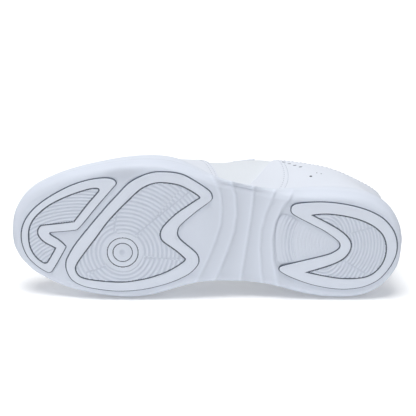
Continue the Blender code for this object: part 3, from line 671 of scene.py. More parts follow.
def inside(x, y, loop):
    """Whether each point is inside a closed outline."""
    found = np.zeros(x.shape, bool)
    for (ax, ay), (bx, by) in zip(loop, [*loop[1:], loop[0]]):
        crosses = (ay > y) != (by > y)
        if ay != by:
            found ^= crosses & (x < (bx - ax) * (y - ay) / (by - ay) + ax)
    return found


def line_gap(x, y, ends):
    """Each point's distance from a straight line between two ends."""
    (ax, ay), (bx, by) = ends
    share = ((x - ax) * (bx - ax) + (y - ay) * (by - ay)) / ((bx - ax) ** 2 + (by - ay) ** 2)
    share = np.clip(share, 0, 1)
    return np.hypot(x - ax - share * (bx - ax), y - ay - share * (by - ay))


# ---------------------------------------------------------------- sole

def terraces(x, y):
    """How far each point steps back behind the terrace line before it, from 0 to 1, and its painted shade:
    darker in each recess, with a painted highlight on the lip just before each line.
    """
    lines = [np.interp(x, [p[0] for p in line], [p[1] for p in line]) for line in TERRACES]
    step, dark = np.zeros(x.shape), np.zeros(x.shape)
    for i, start in enumerate(lines):
        end = lines[i + 1] if i + 1 < len(lines) else start + 16
        share = (y - start) / (end - start)
        rise = np.clip((y - start) / TERRACE_EDGE, 0, 1)
        here = (share >= 0) & (share < 1)
        step = np.where(here, rise * (1 - share), step)
        # painted shade in the recess behind each terrace line
        dark = np.where(here, TERRACE_SHADE[i] * rise * np.clip(1 - share, 0, 1) ** 1.6, dark)
        # a painted highlight on the lip just before each line
        dark -= TERRACE_LIP_HIGHLIGHT * np.exp(-(((y - start + 0.7) / 0.8) ** 2))
    return step, dark


def fore_hollow(x, y):
    """The shallow hollow between the toe and ball blocks at the lateral edge, from 0 to 1, which is cut in
    and also given painted shade.
    """
    cx, cy, wide, long = FORE_HOLLOW
    return np.exp(-(((x - cx) / wide) ** 2) - ((y - cy) / long) ** 2)


def rim_at(y, lateral):
    return eased(RIM_LATERAL if lateral else RIM_MEDIAL, y)[0]


def widest_at(y, lateral):
    """The height of the midsole's widest line."""
    return lift(y) + WIDEST * (rim_at(y, lateral) - lift(y))


def midsole_rings(outline):
    """The midsole's rings from the underside up its wall and down inside the rim, as (loop, height)."""
    def underside_inset(x, y):
        return eased(EDGE_INSET_LATERAL if x > -10 else EDGE_INSET_MEDIAL, y)[0]

    rings = []
    for inset, rise, share in UNDER_RINGS:
        def under(y, lateral, rise=rise, share=share):
            return sole_bottom(y) + rise + share * (widest_at(y, lateral) - sole_bottom(y))
        rings.append((grown(outline, lambda x, y, inset=inset: -inset * underside_inset(x, y)), under))
    for outset, share in SIDE_RINGS:
        def wall(y, lateral, share=share):
            return widest_at(y, lateral) + share * (rim_at(y, lateral) - widest_at(y, lateral))
        rings.append((grown(outline, outset) if outset else outline, wall))
    return rings + [
        (grown(outline, -3.6), lambda y, lateral: rim_at(y, lateral) + 0.1),
        (grown(outline, -4.3), lambda y, lateral: max(rim_at(y, lateral) - 0.4, footbed(y) + 0.6)),
        (grown(outline, -4.5), lambda y, lateral: footbed(y)),
    ]


def fill_ring(verts, ring, height, columns):
    """Faces that close a ring of the midsole, in rows from its lateral to its medial half."""
    half = len(ring) // 2
    rows = [[ring[0]] * (columns + 1)]
    for i in range(1, half):
        a, b = np.array(verts[ring[i]]), np.array(verts[ring[-i]])
        row = [ring[i]]
        for k in range(1, columns):
            x, y = (a + (b - a) * k / columns)[:2]
            row.append(len(verts))
            verts.append((x, y, height(y)))
        rows.append([*row, ring[-i]])
    rows.append([ring[half]] * (columns + 1))
    return [
        list(dict.fromkeys((low[k], low[k + 1], high[k + 1], high[k])))
        for low, high in zip(rows, rows[1:])
        for k in range(columns)
    ]


def midsole(look):
    half = 400
    verts, rings, faces = [], [], []
    for loop, height in midsole_rings(sole_outline(half)):
        rings.append(range(len(verts), len(verts) + len(loop)))
        verts += [(x, y, height(y, i <= half)) for i, (x, y) in enumerate(loop)]
    for low, high in zip(rings, rings[1:]):
        faces += [(low[i - 1], low[i], high[i], high[i - 1]) for i in [*range(1, len(low)), 0]]
    faces += fill_ring(verts, rings[0], sole_bottom, 64)
    faces += fill_ring(verts, rings[-1], footbed, 8)
    co, shade = terraced(np.array(verts), rings[-1][0])
    # A thin line of painted shade along the forefoot's sidewall, on the ring at its step
    line = np.array(rings[len(UNDER_RINGS) + 1])
    shade[line] -= SIDE_SHADE_LINE * np.clip((-8 - co[line, 1]) / 12, 0, 1)
    make("midsole_body", co.tolist(), faces, look, ["midsole"], smooth=55, shade=shade)


def terraced(co, inner_start):
    """The midsole's points with the terraces and the hollow cut in, and how light each one is painted:
    painted shade in the terrace recesses and in the hollow, and a painted highlight on each terrace's lip.

    Points from inner_start on are inside the rim, where only the underside is cut.
    """
    height = co[:, 2] - lift(co[:, 1])
    outer = np.arange(len(co)) < inner_start
    outer |= height < 6
    step, dark = terraces(co[:, 0], co[:, 1])
    fade = np.clip((14 - height) / 9, 0, 1) * outer
    hollow = fore_hollow(co[:, 0], co[:, 1]) * np.clip((8 - height) / 5, 0, 1)
    co[:, 2] += TERRACE_STEP * step * fade * np.clip((9 - height) / 5, 0, 1) + 0.9 * hollow
    # painted shade in the terrace recesses and in the hollow, painted highlights on the terrace lips
    return co, 1 - dark * fade - 0.35 * hollow


def rib_profile(radius, pitch, offset=0.0):
    """1 on a rib's top and 0 in the valley between two."""
    wave = 0.5 + 0.5 * np.cos(2 * math.pi * (radius / pitch + offset))
    return np.clip(wave * 1.5 - 0.2, 0, 1)


def ball_ribs(x, y):
    dx, dy = x - PIVOT[0], y - PIVOT[1]
    radius = np.hypot(dx, dy)
    angle = (np.degrees(np.arctan2(dy, dx)) - BALL_SECTORS[0]) % 360
    sector = np.zeros(x.shape)
    for edge in BALL_SECTORS[1:]:
        sector += angle > edge - BALL_SECTORS[0]
    ribs = rib_profile(radius - 0.4, BALL_PITCH, 0.5 * (sector % 2))
    ribs = np.where(radius < PIVOT_BAND, 1, ribs)
    for ends in BALL_DIVIDERS:
        ribs = np.where(line_gap(x, y, ends) < DIVIDER_HALF, 0, ribs)
    return ribs


def toe_ribs(x, y):
    return rib_profile(np.hypot(x - TOE_CENTRE[0], y - TOE_CENTRE[1]), TOE_PITCH)


def heel_ribs(x, y):
    (ax, ay), (bx, by) = HEEL_DIVIDERS[0]
    lateral = x > ax + (bx - ax) * (y - ay) / (by - ay)
    (ax, ay), (bx, by) = HEEL_DIVIDERS[1]
    medial = x < ax + (bx - ax) * (y - ay) / (by - ay)
    sector = np.where(lateral & (y < 112), 0, np.where(medial, 2, 1))
    ribs = np.zeros(x.shape)
    for i, (centre, pitch) in enumerate(zip(HEEL_CENTRES, HEEL_PITCHES)):
        ribs = np.where(sector == i, rib_profile(np.hypot(x - centre[0], y - centre[1]), pitch), ribs)
    for ends in HEEL_DIVIDERS:
        ribs = np.where(line_gap(x, y, ends) < DIVIDER_HALF, 0, ribs)
    return ribs


def arch_ribs(x, y):
    ribs = rib_profile(np.hypot(x - ARCH_CENTRE[0], y - ARCH_CENTRE[1]), ARCH_PITCH)
    return 1 - (1 - ribs) * np.clip((y - 47) / 7, 0, 1)


def ribbed(name, outer, pattern, look, replaces, surface_z, hole=None, depth=RIB_DEPTH):
    """A ribbed sheet over the cells of a fine grid that lie inside an outline."""
    xs = np.arange(min(p[0] for p in outer) - RIB_STEP, max(p[0] for p in outer) + RIB_STEP, RIB_STEP)
    ys = np.arange(min(p[1] for p in outer) - RIB_STEP, max(p[1] for p in outer) + RIB_STEP, RIB_STEP)
    gx, gy = np.meshgrid(xs, ys, indexing="ij")
    keep = inside(gx, gy, outer)
    if hole:
        keep &= np.hypot(gx - hole[0][0], gy - hole[0][1]) > hole[1]
    cells = keep[:-1, :-1] & keep[1:, :-1] & keep[1:, 1:] & keep[:-1, 1:]
    used = np.zeros(gx.shape, bool)
    for shift_x in (0, 1):
        for shift_y in (0, 1):
            used[shift_x:used.shape[0] - 1 + shift_x, shift_y:used.shape[1] - 1 + shift_y] |= cells
    number = np.full(gx.shape, -1)
    number[used] = np.arange(used.sum())
    x, y = gx[used], gy[used]
    height = pattern(x, y)
    z = surface_z(y) + depth * (1 - height)
    i, j = np.nonzero(cells)
    faces = np.stack([number[i, j], number[i, j + 1], number[i + 1, j + 1], number[i + 1, j]], 1)
    verts = np.stack([x, y, z], 1).tolist()
    # The rib height is also the shade, so the valleys between the ribs get painted shade
    make(name, verts, faces.tolist(), look, replaces, smooth=0, shade=height)


def plate(loops, low, high, step=3.0):
    """A closed plate between two height functions of y. The first loop is its edge and the rest are holes."""
    bm = bmesh.new()
    edges = []
    for loop in loops:
        verts = [bm.verts.new((x, y, 0)) for x, y in loop]
        edges += [bm.edges.new((verts[i - 1], verts[i])) for i in range(len(verts))]
    bmesh.ops.triangle_fill(bm, use_beauty=True, use_dissolve=False, edges=edges)
    ys = [y for x, y in loops[0]]
    y = math.ceil(min(ys) / step) * step
    while y < max(ys):
        geometry = bm.verts[:] + bm.edges[:] + bm.faces[:]
        bmesh.ops.bisect_plane(bm, geom=geometry, dist=0.01, plane_co=(0, y, 0), plane_no=(0, 1, 0))
        y += step
    extruded = bmesh.ops.extrude_face_region(bm, geom=bm.faces[:])
    tops = {v for v in extruded["geom"] if isinstance(v, bmesh.types.BMVert)}
    for vert in bm.verts:
        vert.co.z = high(vert.co.y) if vert in tops else low(vert.co.y)
    return bm


def tread(looks):
    def top(y):
        return lift(y) + TREAD_PROUD + 1.2

    def groove(y):
        return lift(y) + 0.62

    blocks = (
        ("toe", TOE_RIM, TOE_FIELD, toe_ribs), ("ball", BALL_RIM, BALL_FIELD, ball_ribs),
        ("heel", HEEL_RIM, HEEL_FIELD, heel_ribs),
    )
    for name, rim, field, pattern in blocks:
        outer, inner = smooth_loop(rim, 6), smooth_loop(field, 6)
        block = plate([outer, inner], lift, top)
        soften(make_from(name + "_rim", block, looks["rim"], [name + "_tread_rim"]), 0.35)
        edge = shrunk(inner, GROOVE - 0.15)
        ribbed(
            name + "_ribs", edge, pattern, looks["ribs"], [name + "_tread_field"], lambda y: lift(y) + 0.12,
            hole=(PIVOT, PIVOT_RADIUS + 0.1) if name == "ball" else None,
        )
        bed = plate([smooth_loop(field, 3)], groove, lambda y: lift(y) + 1.6)
        make_from(name + "_groove", bed, looks["groove"])
        border = grown(smooth_loop(rim, 3), BORDER)
        border = plate([border], lambda y: sole_bottom(y) - 0.06, lambda y: sole_bottom(y) + 1)
        make_from(name + "_border", border, looks["groove"])
    pivot(looks)
    ribbed("arch_ribs", smooth_loop(ARCH_FIELD, 6), arch_ribs, looks["ribs"], ["heel_arch_field"],
           lambda y: np.array([sole_bottom(v) for v in y]) - 0.12, depth=RIB_DEPTH)


def pivot(looks):
    """The turning spot under the ball of the foot: a ring round a disc with a shallow dip in its middle."""
    def level(z):
        return lambda y: lift(y) + z

    ring = plate([circle(PIVOT, 10.0, 72), circle(PIVOT, 6.8, 72)], level(0.1), level(1.5))
    soften(make_from("pivot_outer_ring", ring, looks["rim"], ["pivot_ring"]), 0.15)
    ribbed("pivot_inner_disc", circle(PIVOT, 6.4, 72), dimple, looks["ribs"], ["pivot_disc"],
           lambda y: lift(y) + 0.1)


def dimple(x, y):
    """A shallow dip in the middle of the pivot, which the ribbed sheet also darkens as painted shade."""
    away = np.hypot(x - PIVOT[0], y - PIVOT[1])
    return 1 - np.exp(-((away / 2.0) ** 4))


# ---------------------------------------------------------------- upper

def panel(name, grid, outer, thick, look, slot, replaces=(), merge_ridge=False, edge=0.35, body="shoe"):
    """A panel of the upper over a fine grid of (station, height), with its edges rounded."""
    bm = bmesh.new()
    bm.loops.layers.uv.new("Panel")
    where = {}
    layers = []
    for depth in (outer, outer - thick):
        rows = []
        for line in grid:
            row = []
            for station, height in line:
                normal = outward(station, height)
                if merge_ridge and height > 0.999:
                    normal = (normal + outward(-station, height)).normalized()
                vert = bm.verts.new(surface(station, height) + normal * depth)
                where[vert] = (station * WEAVE_ALONG, height * WEAVE_UP)
                row.append(vert)
            rows.append(row)
        layers.append(rows)
    for rows in layers:
        bridge(bm, rows, closed=False)
    bridge(bm, [patch_edge(rows, merge_ridge) for rows in layers], closed=not merge_ridge)
    map_panel(bm, where)
    piece = make_from(name, bm, look, replaces, body)
    if edge:
        soften(piece, edge)
    return piece


def overlay(name, grid, looks, node):
    """A leather panel sewn on the outside."""
    return panel(name, grid, VISIBLE_OVERLAY, VISIBLE_THICK, looks["leather"], "white_leather", [node])


def lining(name, grid, outer, thick, looks, node, **settings):
    """A panel of the textile inside."""
    return panel(name, grid, outer, thick, looks["lining"], "white_textile", [node], **settings)


def cap_edge(station, top=CAP_TOP):
    """The height of a line along the toe cap's edge."""
    return top - CAP_FALL * (abs(station) / CAP_SPAN) ** 2


def upper(looks):
    toe_box = [[(s, h) for h in shares(0, 1, 26)] for s in shares(-VAMP_END, VAMP_END, 120)]
    panel("vamp_shell", toe_box, 0, BASE, looks["leather"], "white_leather", ["vamp"],
          merge_ridge=True, edge=0)
    lining("vamp_inside", toe_box[::2], below(BASE, STIFFENER), 1.0, looks, "vamp_lining",
           merge_ridge=True, edge=0)
    overlay("toe_cap", panel_grid(-CAP_SPAN, CAP_SPAN, above_rim, cap_edge, 90, 14), looks, "toe_overlay")
    for side, sign in (("lateral", 1), ("medial", -1)):
        quarter(side, sign, looks)

    cover = panel_grid(heel_front, lambda share: 2 - heel_front(share), above_rim, HEEL_COVER_TOP, 130, 20)
    overlay("heel_cover", cover, looks, "heel_overlay")
    inside_heel = panel_grid(COLLAR_START, 2 - COLLAR_START, 0.03, 0.60, 70, 12)
    lining("heel_inside", inside_heel, below(BASE, STIFFENER), LINING, looks, "heel_lining")


def quarter(side, sign, looks):
    """One side of the upper, from the toe box to the back of the heel."""
    def patch(*grid):
        return [[(sign * s, h) for s, h in line] for line in panel_grid(*grid)]

    base = panel(side + "_side", patch(QUARTER_START - 0.002, 1.0, 0, 1, 110, 26), 0, BASE,
                 looks["mesh"], "cream_mesh", [side + "_quarter"])
    inner = lining(side + "_inside", patch(STAY_START, 0.70, 0.03, 0.97, 44, 18),
                   below(BASE) - LINING_SLACK, LINING, looks, side + "_lining")
    forefoot = patch(lambda b: 0.325 + 0.055 * b, forefoot_back, lambda s: above_rim(sign * s),
                     FOREFOOT_TOP, 46, 18)
    overlay(side + "_forefoot", forefoot, looks, side + "_forefoot_overlay")
    stay_grid = patch(STAY_START, STAY_END, stay_foot, 1 - TOP_GAP, 44, 10)
    stay = overlay(side + "_stay", stay_grid, looks, side + "_eyestay")
    punch_eyelets(sign, (base, inner, stay))


def forefoot_back(share):
    """The station of the forefoot overlay's back edge."""
    return 0.545 - 0.03 * share


def punch_eyelets(sign, pieces):
    """Cuts one side's eyelet holes through the pieces."""
    holes = bmesh.new()
    for station in EYELET_STATIONS:
        centre, normal, across = eyelet(sign * station)
        frame = across.cross(normal)
        spots = [across * x + frame * y for x, y in circle((0, 0), EYELET_RADIUS, 20)]
        ends = (centre - normal * 8, centre + normal * 8)
        tube(holes, [[holes.verts.new(end + spot) for spot in spots] for end in ends])
    cutter = placed("holes", mesh_of("holes", holes))
    for holed in pieces:
        boolean = holed.modifiers.new("holes", "BOOLEAN")
        boolean.object = cutter
        boolean.solver = "EXACT"
        bpy.context.view_layer.update()
        bake(holed)
    bpy.data.objects.remove(cutter)


# ---------------------------------------------------------------- stitching, and painted shade for the punched vents

def bead(bm, centre, along, normal, half_length, half_width, rise):
    """A small smooth bead lying on the surface."""
    side = along.cross(normal).normalized()
    rings = []
    for t in (-0.92, -0.5, 0.0, 0.5, 0.92):
        scale = math.sqrt(1 - t * t)
        rings.append([
            bm.verts.new(
                centre + along * (t * half_length) + side * (x * half_width * scale)
                + normal * (y * rise * scale)
            )
            for x, y in circle((0, 0), 1, 6)
        ])
    tube(bm, rings)


def stitch_rows(name, rows, depth, look, spacing=3.0, half_length=1.05, half_width=0.28):
    """Rows of stitches, each along a line of (station, height)."""
    bm = bmesh.new()
    for row in rows:
        points = [raised(s, h, depth) for s, h in row]
        lengths = [0.0]
        for a, b in zip(points, points[1:]):
            lengths.append(lengths[-1] + (b - a).length)
        number = max(2, round(lengths[-1] / spacing))
        line = spaced([tuple(p) for p in points], number)
        rows_s = spaced([(length, s, h) for length, (s, h) in zip(lengths, row)], number)
        for i in range(number):
            a, b = Vector(line[i]), Vector(line[i + 1])
            normal = outward(rows_s[i][1], rows_s[i][2])
            bead(bm, (a + b) / 2, (b - a).normalized(), normal, half_length, half_width, 0.22)
    return make_from(name, bm, look, smooth=0)


def stitching(looks):
    """Double rows along the toe cap and overlays, and single rows on the eyestays and round the collar."""
    rows = []
    for sign in (1, -1):
        heel_foot, forefoot_foot = above_rim(sign * 0.65), above_rim(sign * 0.54)
        for inset, heel_inset in ((0.006, 0.0), (0.014, 0.009)):
            rows.append([
                (sign * (0.664 + 0.055 * b ** 0.6 + heel_inset), heel_foot * (1 - b) + HEEL_COVER_TOP * b)
                for b in shares(0.05, 0.95, 24)
            ])
            rows.append([
                (sign * (forefoot_back(b) - inset), forefoot_foot * (1 - b) + FOREFOOT_TOP * b)
                for b in shares(0.04, 0.97, 20)
            ])
        rows.append([(sign * s, stay_foot(s) + 0.02) for s in shares(0.43, 0.655, 24)])
        rows.append([(sign * s, 0.962) for s in shares(0.43, 0.655, 24)])
        rows.append([(sign * s, 0.913) for s in shares(0.735, 0.995, 30)])
    rows.append([(s, cap_edge(s, CAP_TOP - 0.02)) for s in shares(-0.295, 0.295, 50)])
    rows.append([(s, cap_edge(s, CAP_TOP - 0.045)) for s in shares(-0.29, 0.29, 50)])
    stitch_rows("overlay_stitches", rows, VISIBLE_OVERLAY + 0.06, looks["thread"])


def punching(looks):
    """Dark beads on the heel cover, the same on both sides: painted shade that stands in for its punched vent
    slots and dots.
    """
    bm = bmesh.new()

    def punch(station, height, along, half_length, half_width):
        centre = raised(station, height, VISIBLE_OVERLAY)
        bead(bm, centre, along.normalized(), outward(station, height), half_length, half_width, 0.16)

    for sign in (1, -1):
        for i in range(4):
            station, height = sign * (0.722 + 0.0125 * i), 0.725 - 0.024 * i
            along = surface(station + 0.01 * sign, height + 0.03) - surface(station, height)
            punch(station, height, along, 1.35, 0.6)
        for station, height, size in ((0.76, 0.40, 1.0), (0.787, 0.53, 0.45), (0.797, 0.525, 0.45)):
            station *= sign
            punch(station, height, outward(station, height).cross(Vector((0, 0, 1))), size, size)
    make_from("punched_vents", bm, looks["hole"], smooth=0)


# ---------------------------------------------------------------- soft pieces

PUFF_FRAMES = 20


def voxel(piece, size):
    remesh = piece.modifiers.new("remesh", "REMESH")
    remesh.mode = "VOXEL"
    remesh.voxel_size = size * MM
    bpy.context.view_layer.update()
    return bake(piece)


def puff(piece, pressure, cap):
    """Fills a pad by cloth simulation, with no point moving more than cap millimetres."""
    scene = bpy.context.scene
    cloth = piece.modifiers.new("fill", "CLOTH")
    cloth.settings.use_pressure = True
    cloth.settings.uniform_pressure_force = pressure
    cloth.settings.effector_weights.gravity = 0
    cloth.settings.quality = 6
    cloth.settings.mass = 0.2
    cloth.point_cache.frame_start = 1
    cloth.point_cache.frame_end = PUFF_FRAMES
    start = np.array([v.co for v in piece.data.vertices])
    for frame in range(1, PUFF_FRAMES + 1):
        scene.frame_set(frame)
    evaluated = piece.evaluated_get(bpy.context.evaluated_depsgraph_get())
    moved = np.array([v.co for v in evaluated.data.vertices]) - start
    length = np.linalg.norm(moved, axis=1, keepdims=True)
    moved *= np.minimum(1, cap * MM / np.maximum(length, 1e-9))
    piece.modifiers.clear()
    piece.data.vertices.foreach_set("co", (start + moved).astype(np.float32).ravel())
    piece.data.update()
    scene.frame_set(1)
    return piece


def finish_pad(piece, look):
    piece.data.materials.clear()
    piece.data.materials.append(look)
    subdivision = piece.modifiers.new("smooth", "SUBSURF")
    subdivision.levels = 1
    subdivision.render_levels = 1
    bake(piece)
    piece.data.shade_smooth()


def collar(looks):
    grid = panel_grid(COLLAR_START, 2 - COLLAR_START, COLLAR_FOOT, 1.0, 120, 12)
    bm = bmesh.new()
    face = below(BASE) - 0.3
    rings = []
    for line in grid:
        ring = [raised(s, h, face) for s, h in line]
        for station, height in reversed(line):
            share = (height - COLLAR_FOOT) / (1 - COLLAR_FOOT)
            thick = (COLLAR_PAD - 0.9) * (0.35 + 0.65 * math.sin(math.pi * (0.1 + 0.8 * share)))
            ring.append(raised(station, height, face - thick))
        rings.append([bm.verts.new(p) for p in ring])
    tube(bm, rings)
    pad = make_from("collar_pad", bm, looks["lining"], ["collar_padding"])
    voxel(pad, 1.5)
    puff(pad, 4.0, 0.8)
    finish_pad(pad, looks["lining"])


def tongue(looks):
    columns = 40
    sections = [tongue_section(s, columns) for s in shares(0.42, 0.64, 28)]
    last = sections[-1]
    for step in smooth_line([(0, 0, 0), *TONGUE_TOP], 5)[1:]:
        flare = 1 - TONGUE_TAPER * step[1]
        middle = last[columns // 2]
        sections.append([middle + (p - middle) * flare + Vector(step) for p in last])
    bm = bmesh.new()
    rings = []
    for i, section in enumerate(sections):
        ahead = sections[min(i + 1, len(sections) - 1)][columns // 2] - sections[max(i - 1, 0)][columns // 2]
        ring, under = [], []
        for k, point in enumerate(section):
            across = section[min(k + 1, columns)] - section[max(k - 1, 0)]
            normal = across.cross(ahead).normalized()
            thick = TONGUE_THICK * (0.35 + 0.65 * math.sin(math.pi * (0.12 + 0.76 * k / columns)))
            ring.append(bm.verts.new(point - normal * TONGUE_GAP))
            under.append(bm.verts.new(point - normal * (TONGUE_GAP + thick)))
        rings.append(ring + under[::-1])
    tube(bm, rings)
    pad = make_from("tongue_pad", bm, looks["tongue"], ["tongue"], body="tongue_body")
    voxel(pad, 1.4)
    puff(pad, 4.0, 0.4)
    finish_pad(pad, looks["tongue"])


def lace_path():
    """The lace's route as rows of (x, y, z, width, and its sideways direction), from eyelet to eyelet."""
    on_top = CLEARANCE + OVERLAY + CLEARANCE + LACE_THICK / 2 + 0.35
    under = below(BASE, LINING) - LACE_THICK / 2 - 0.3
    path = []

    def at(station, reach, depth, width):
        """Adds the point at this distance from an eyelet towards the throat."""
        throat = surface(station, 1)
        height = 1.0
        while (surface(station, height) - throat).length < EYELET_SETBACK - reach:
            height -= 0.004
        sideways = surface(abs(station) + 0.01, 1) - surface(abs(station) - 0.01, 1)
        path.append((*raised(station, height, depth), width, *sideways.normalized()))

    side = -1
    at(side * EYELET_STATIONS[0], -7, under, LACE_BUNCHED)
    for i, station in enumerate(EYELET_STATIONS):
        here, there = side * station, -side * station
        for reach, depth in ((-0.3, under), (0, -0.8), (0.2, on_top + 0.2)):
            at(here, reach, depth, LACE_BUNCHED)
        bar = ((here, 3.5, 4.6), (here, 7, LACE_WIDTH), (there, 7, LACE_WIDTH), (there, 3.5, 4.6))
        for end, reach, width in bar:
            at(end, reach, on_top + 0.3, width)
        for reach, depth in ((0.2, on_top + 0.2), (0, -0.8), (-0.3, under)):
            at(there, reach, depth, LACE_BUNCHED)
        side = -side
        if i + 1 < len(EYELET_STATIONS):
            at(side * (station + EYELET_STATIONS[i + 1]) / 2, -1.2, under, LACE_BUNCHED)
    at(side * EYELET_STATIONS[-1], -7, under, LACE_BUNCHED)
    return smooth_line(path, 9)


def lace(look):
    path = lace_path()
    section = [
        (math.copysign(abs(x) ** 0.6, x), math.copysign(abs(y) ** 0.6, y)) for x, y in circle((0, 0), 1, 16)
    ]
    bm = bmesh.new()
    bm.loops.layers.uv.new("Panel")
    where, rings = {}, []
    side_way, travelled = Vector(path[0][4:]), 0.0
    for i, row in enumerate(path):
        point, width, hint = Vector(row[:3]), row[3], Vector(row[4:])
        before = Vector(path[max(i - 1, 0)][:3])
        travelled += (point - before).length
        ahead = (Vector(path[min(i + 1, len(path) - 1)][:3]) - before).normalized()
        flat = hint - ahead * hint.dot(ahead)
        if flat.length > 0.5:
            side_way = flat
        side_way = (side_way - ahead * side_way.dot(ahead)).normalized()
        up = ahead.cross(side_way)
        ring = []
        for x, y in section:
            vert = bm.verts.new(point + side_way * x * width / 2 + up * y * LACE_THICK / 2)
            where[vert] = (travelled, x * 3)
            ring.append(vert)
        rings.append(ring)
    tube(bm, rings)
    map_panel(bm, where)
    make_from("flat_lace", bm, look, ["lace"], smooth=60)


def footbed_layers(looks):
    inset = UPPER_INSET + BASE + STIFFENER + LINING + 4 * CLEARANCE + SOCKLINER_EASE
    loop = grown(sole_outline(90), -inset)

    def on_board(y):
        return footbed(y) + 2 * CLEARANCE + BOARD

    liner = plate([loop], on_board, lambda y: on_board(y) + SOCKLINER)
    piece = make_from("insole", liner, looks["insole"], ["sockliner"], body="sockliner_body")
    soften(piece, 0.8, 3)


# ---------------------------------------------------------------- materials

class Look:
    """A material being made, with short ways to add nodes."""

    def __init__(self, name, colour, roughness, **sockets):
        self.material = bpy.data.materials.new(name)
        self.material.use_nodes = True
        self.tree = self.material.node_tree
        self.shader = self.tree.nodes["Principled BSDF"]
        self.colour = colour
        self.shader.inputs["Base Color"].default_value = (*colour, 1)
        self.shader.inputs["Roughness"].default_value = roughness
        for key, value in sockets.items():
            self.shader.inputs[key.replace("_", " ")].default_value = value
        self.height = None

    def add(self, kind, **settings):
        made = self.tree.nodes.new("ShaderNode" + kind)
        for key, value in settings.items():
            setattr(made, key, value)
        return made

    def link(self, a, b):
        self.tree.links.new(a, b)

    def place(self):
        return self.add("TexCoord").outputs["Object"]

    def panel(self):
        return self.add("UVMap", uv_map="Panel").outputs["UV"]

    def noise(self, scale, detail=4.0, roughness=0.5, stretch=None):
        texture = self.add("TexNoise")
        texture.inputs["Scale"].default_value = scale
        texture.inputs["Detail"].default_value = detail
        texture.inputs["Roughness"].default_value = roughness
        if stretch:
            mapping = self.add("Mapping")
            mapping.inputs["Scale"].default_value = stretch
            self.link(self.place(), mapping.inputs["Vector"])
            self.link(mapping.outputs["Vector"], texture.inputs["Vector"])
        else:
            self.link(self.place(), texture.inputs["Vector"])
        return texture.outputs["Fac"]

    def cells(self, scale, feature="F1"):
        texture = self.add("TexVoronoi", feature=feature)
        texture.inputs["Scale"].default_value = scale
        self.link(self.place(), texture.inputs["Vector"])
        return texture.outputs["Distance"]

    def math(self, operation, a, b=None, clamp=False):
        made = self.add("Math", operation=operation, use_clamp=clamp)
        for socket, value in zip(made.inputs, (a, b)):
            if value is None:
                continue
            if isinstance(value, (int, float)):
                socket.default_value = value
            else:
                self.link(value, socket)
        return made.outputs["Value"]

    def tint(self, factor, low, high):
        """Base colour from low to high, as shares of the material's own colour."""
        ramp = self.add("ValToRGB")
        for element, share in zip(ramp.color_ramp.elements, (low, high)):
            share = (share,) * 3 if isinstance(share, (int, float)) else share
            element.color = (*(c * s for c, s in zip(self.colour, share)), 1)
        self.link(factor, ramp.inputs["Fac"])
        self.link(ramp.outputs["Color"], self.shader.inputs["Base Color"])
        return ramp

    def spread(self, value, **limits):
        """A value moved from one range to another, clamped."""
        made = self.add("MapRange")
        for key, limit in limits.items():
            made.inputs[key.replace("_", " ")].default_value = limit
        self.link(value, made.inputs["Value"])
        return made.outputs["Result"]

    def rough(self, factor, low, high):
        self.link(self.spread(factor, To_Min=low, To_Max=high), self.shader.inputs["Roughness"])

    def bump(self, height, distance, strength=1.0):
        made = self.add("Bump")
        made.inputs["Distance"].default_value = distance * MM
        made.inputs["Strength"].default_value = strength
        self.link(height, made.inputs["Height"])
        if self.height is not None:
            self.link(self.height, made.inputs["Normal"])
        self.height = made.outputs["Normal"]
        self.link(self.height, self.shader.inputs["Normal"])

    def weave(self, pitch_u, pitch_v):
        """Threads crossing over and under along a panel's own directions."""
        split = self.add("SeparateXYZ")
        self.link(self.panel(), split.inputs["Vector"])
        u = self.math("SINE", self.math("MULTIPLY", split.outputs["X"], 2 * math.pi / pitch_u))
        v = self.math("SINE", self.math("MULTIPLY", split.outputs["Y"], 2 * math.pi / pitch_v))
        return self.math("MULTIPLY_ADD", self.math("MULTIPLY", u, v), 0.5)


def rubber(name, colour, roughness, grain):
    """Moulded rubber: a fine pebbled skin, slightly uneven in colour, scuffed smooth in places."""
    look = Look(name, colour, roughness, Specular_IOR_Level=0.4)
    patches = look.noise(38, 3)
    look.tint(patches, 0.955, 1.03)
    look.rough(look.noise(140, 5), roughness - 0.09, roughness + 0.1)
    look.bump(look.cells(1500), grain)
    look.bump(look.noise(420, 5), 0.05)
    return look.material


def rib_rubber(name, colour):
    """The valleys between the ribs are painted a shade darker than the rib tops, as painted shade from the
    shade attribute.
    """
    look = Look(name, colour, 0.5, Specular_IOR_Level=0.4)
    shade = look.add("Attribute", attribute_name="shade").outputs["Fac"]
    uneven = look.math("MULTIPLY", look.noise(60, 3), 0.16)
    factor = look.math("ADD", look.math("MULTIPLY", shade, 0.9), uneven, clamp=True)
    look.tint(factor, (0.83, 0.84, 0.865), 1.0)
    look.rough(look.noise(180, 4), 0.42, 0.62)
    look.bump(look.noise(900, 4), 0.04)
    return look.material


def foam(name, colour):
    look = Look(name, colour, 0.5, Specular_IOR_Level=0.35)
    # The shade attribute is painted light: painted shade in the terrace recesses, the hollow and the sidewall
    # line, and painted highlights on the terrace lips
    shade = look.add("Attribute", attribute_name="shade").outputs["Fac"]
    uneven = look.math("MULTIPLY", look.noise(30, 4), 0.1)
    look.tint(look.math("ADD", look.math("MULTIPLY", shade, 0.75), uneven), 0.70, 1.08)
    look.rough(look.noise(90, 5), 0.42, 0.6)
    look.bump(look.noise(700, 6), 0.05)
    look.bump(look.noise(55, 2), 0.12)
    return look.material


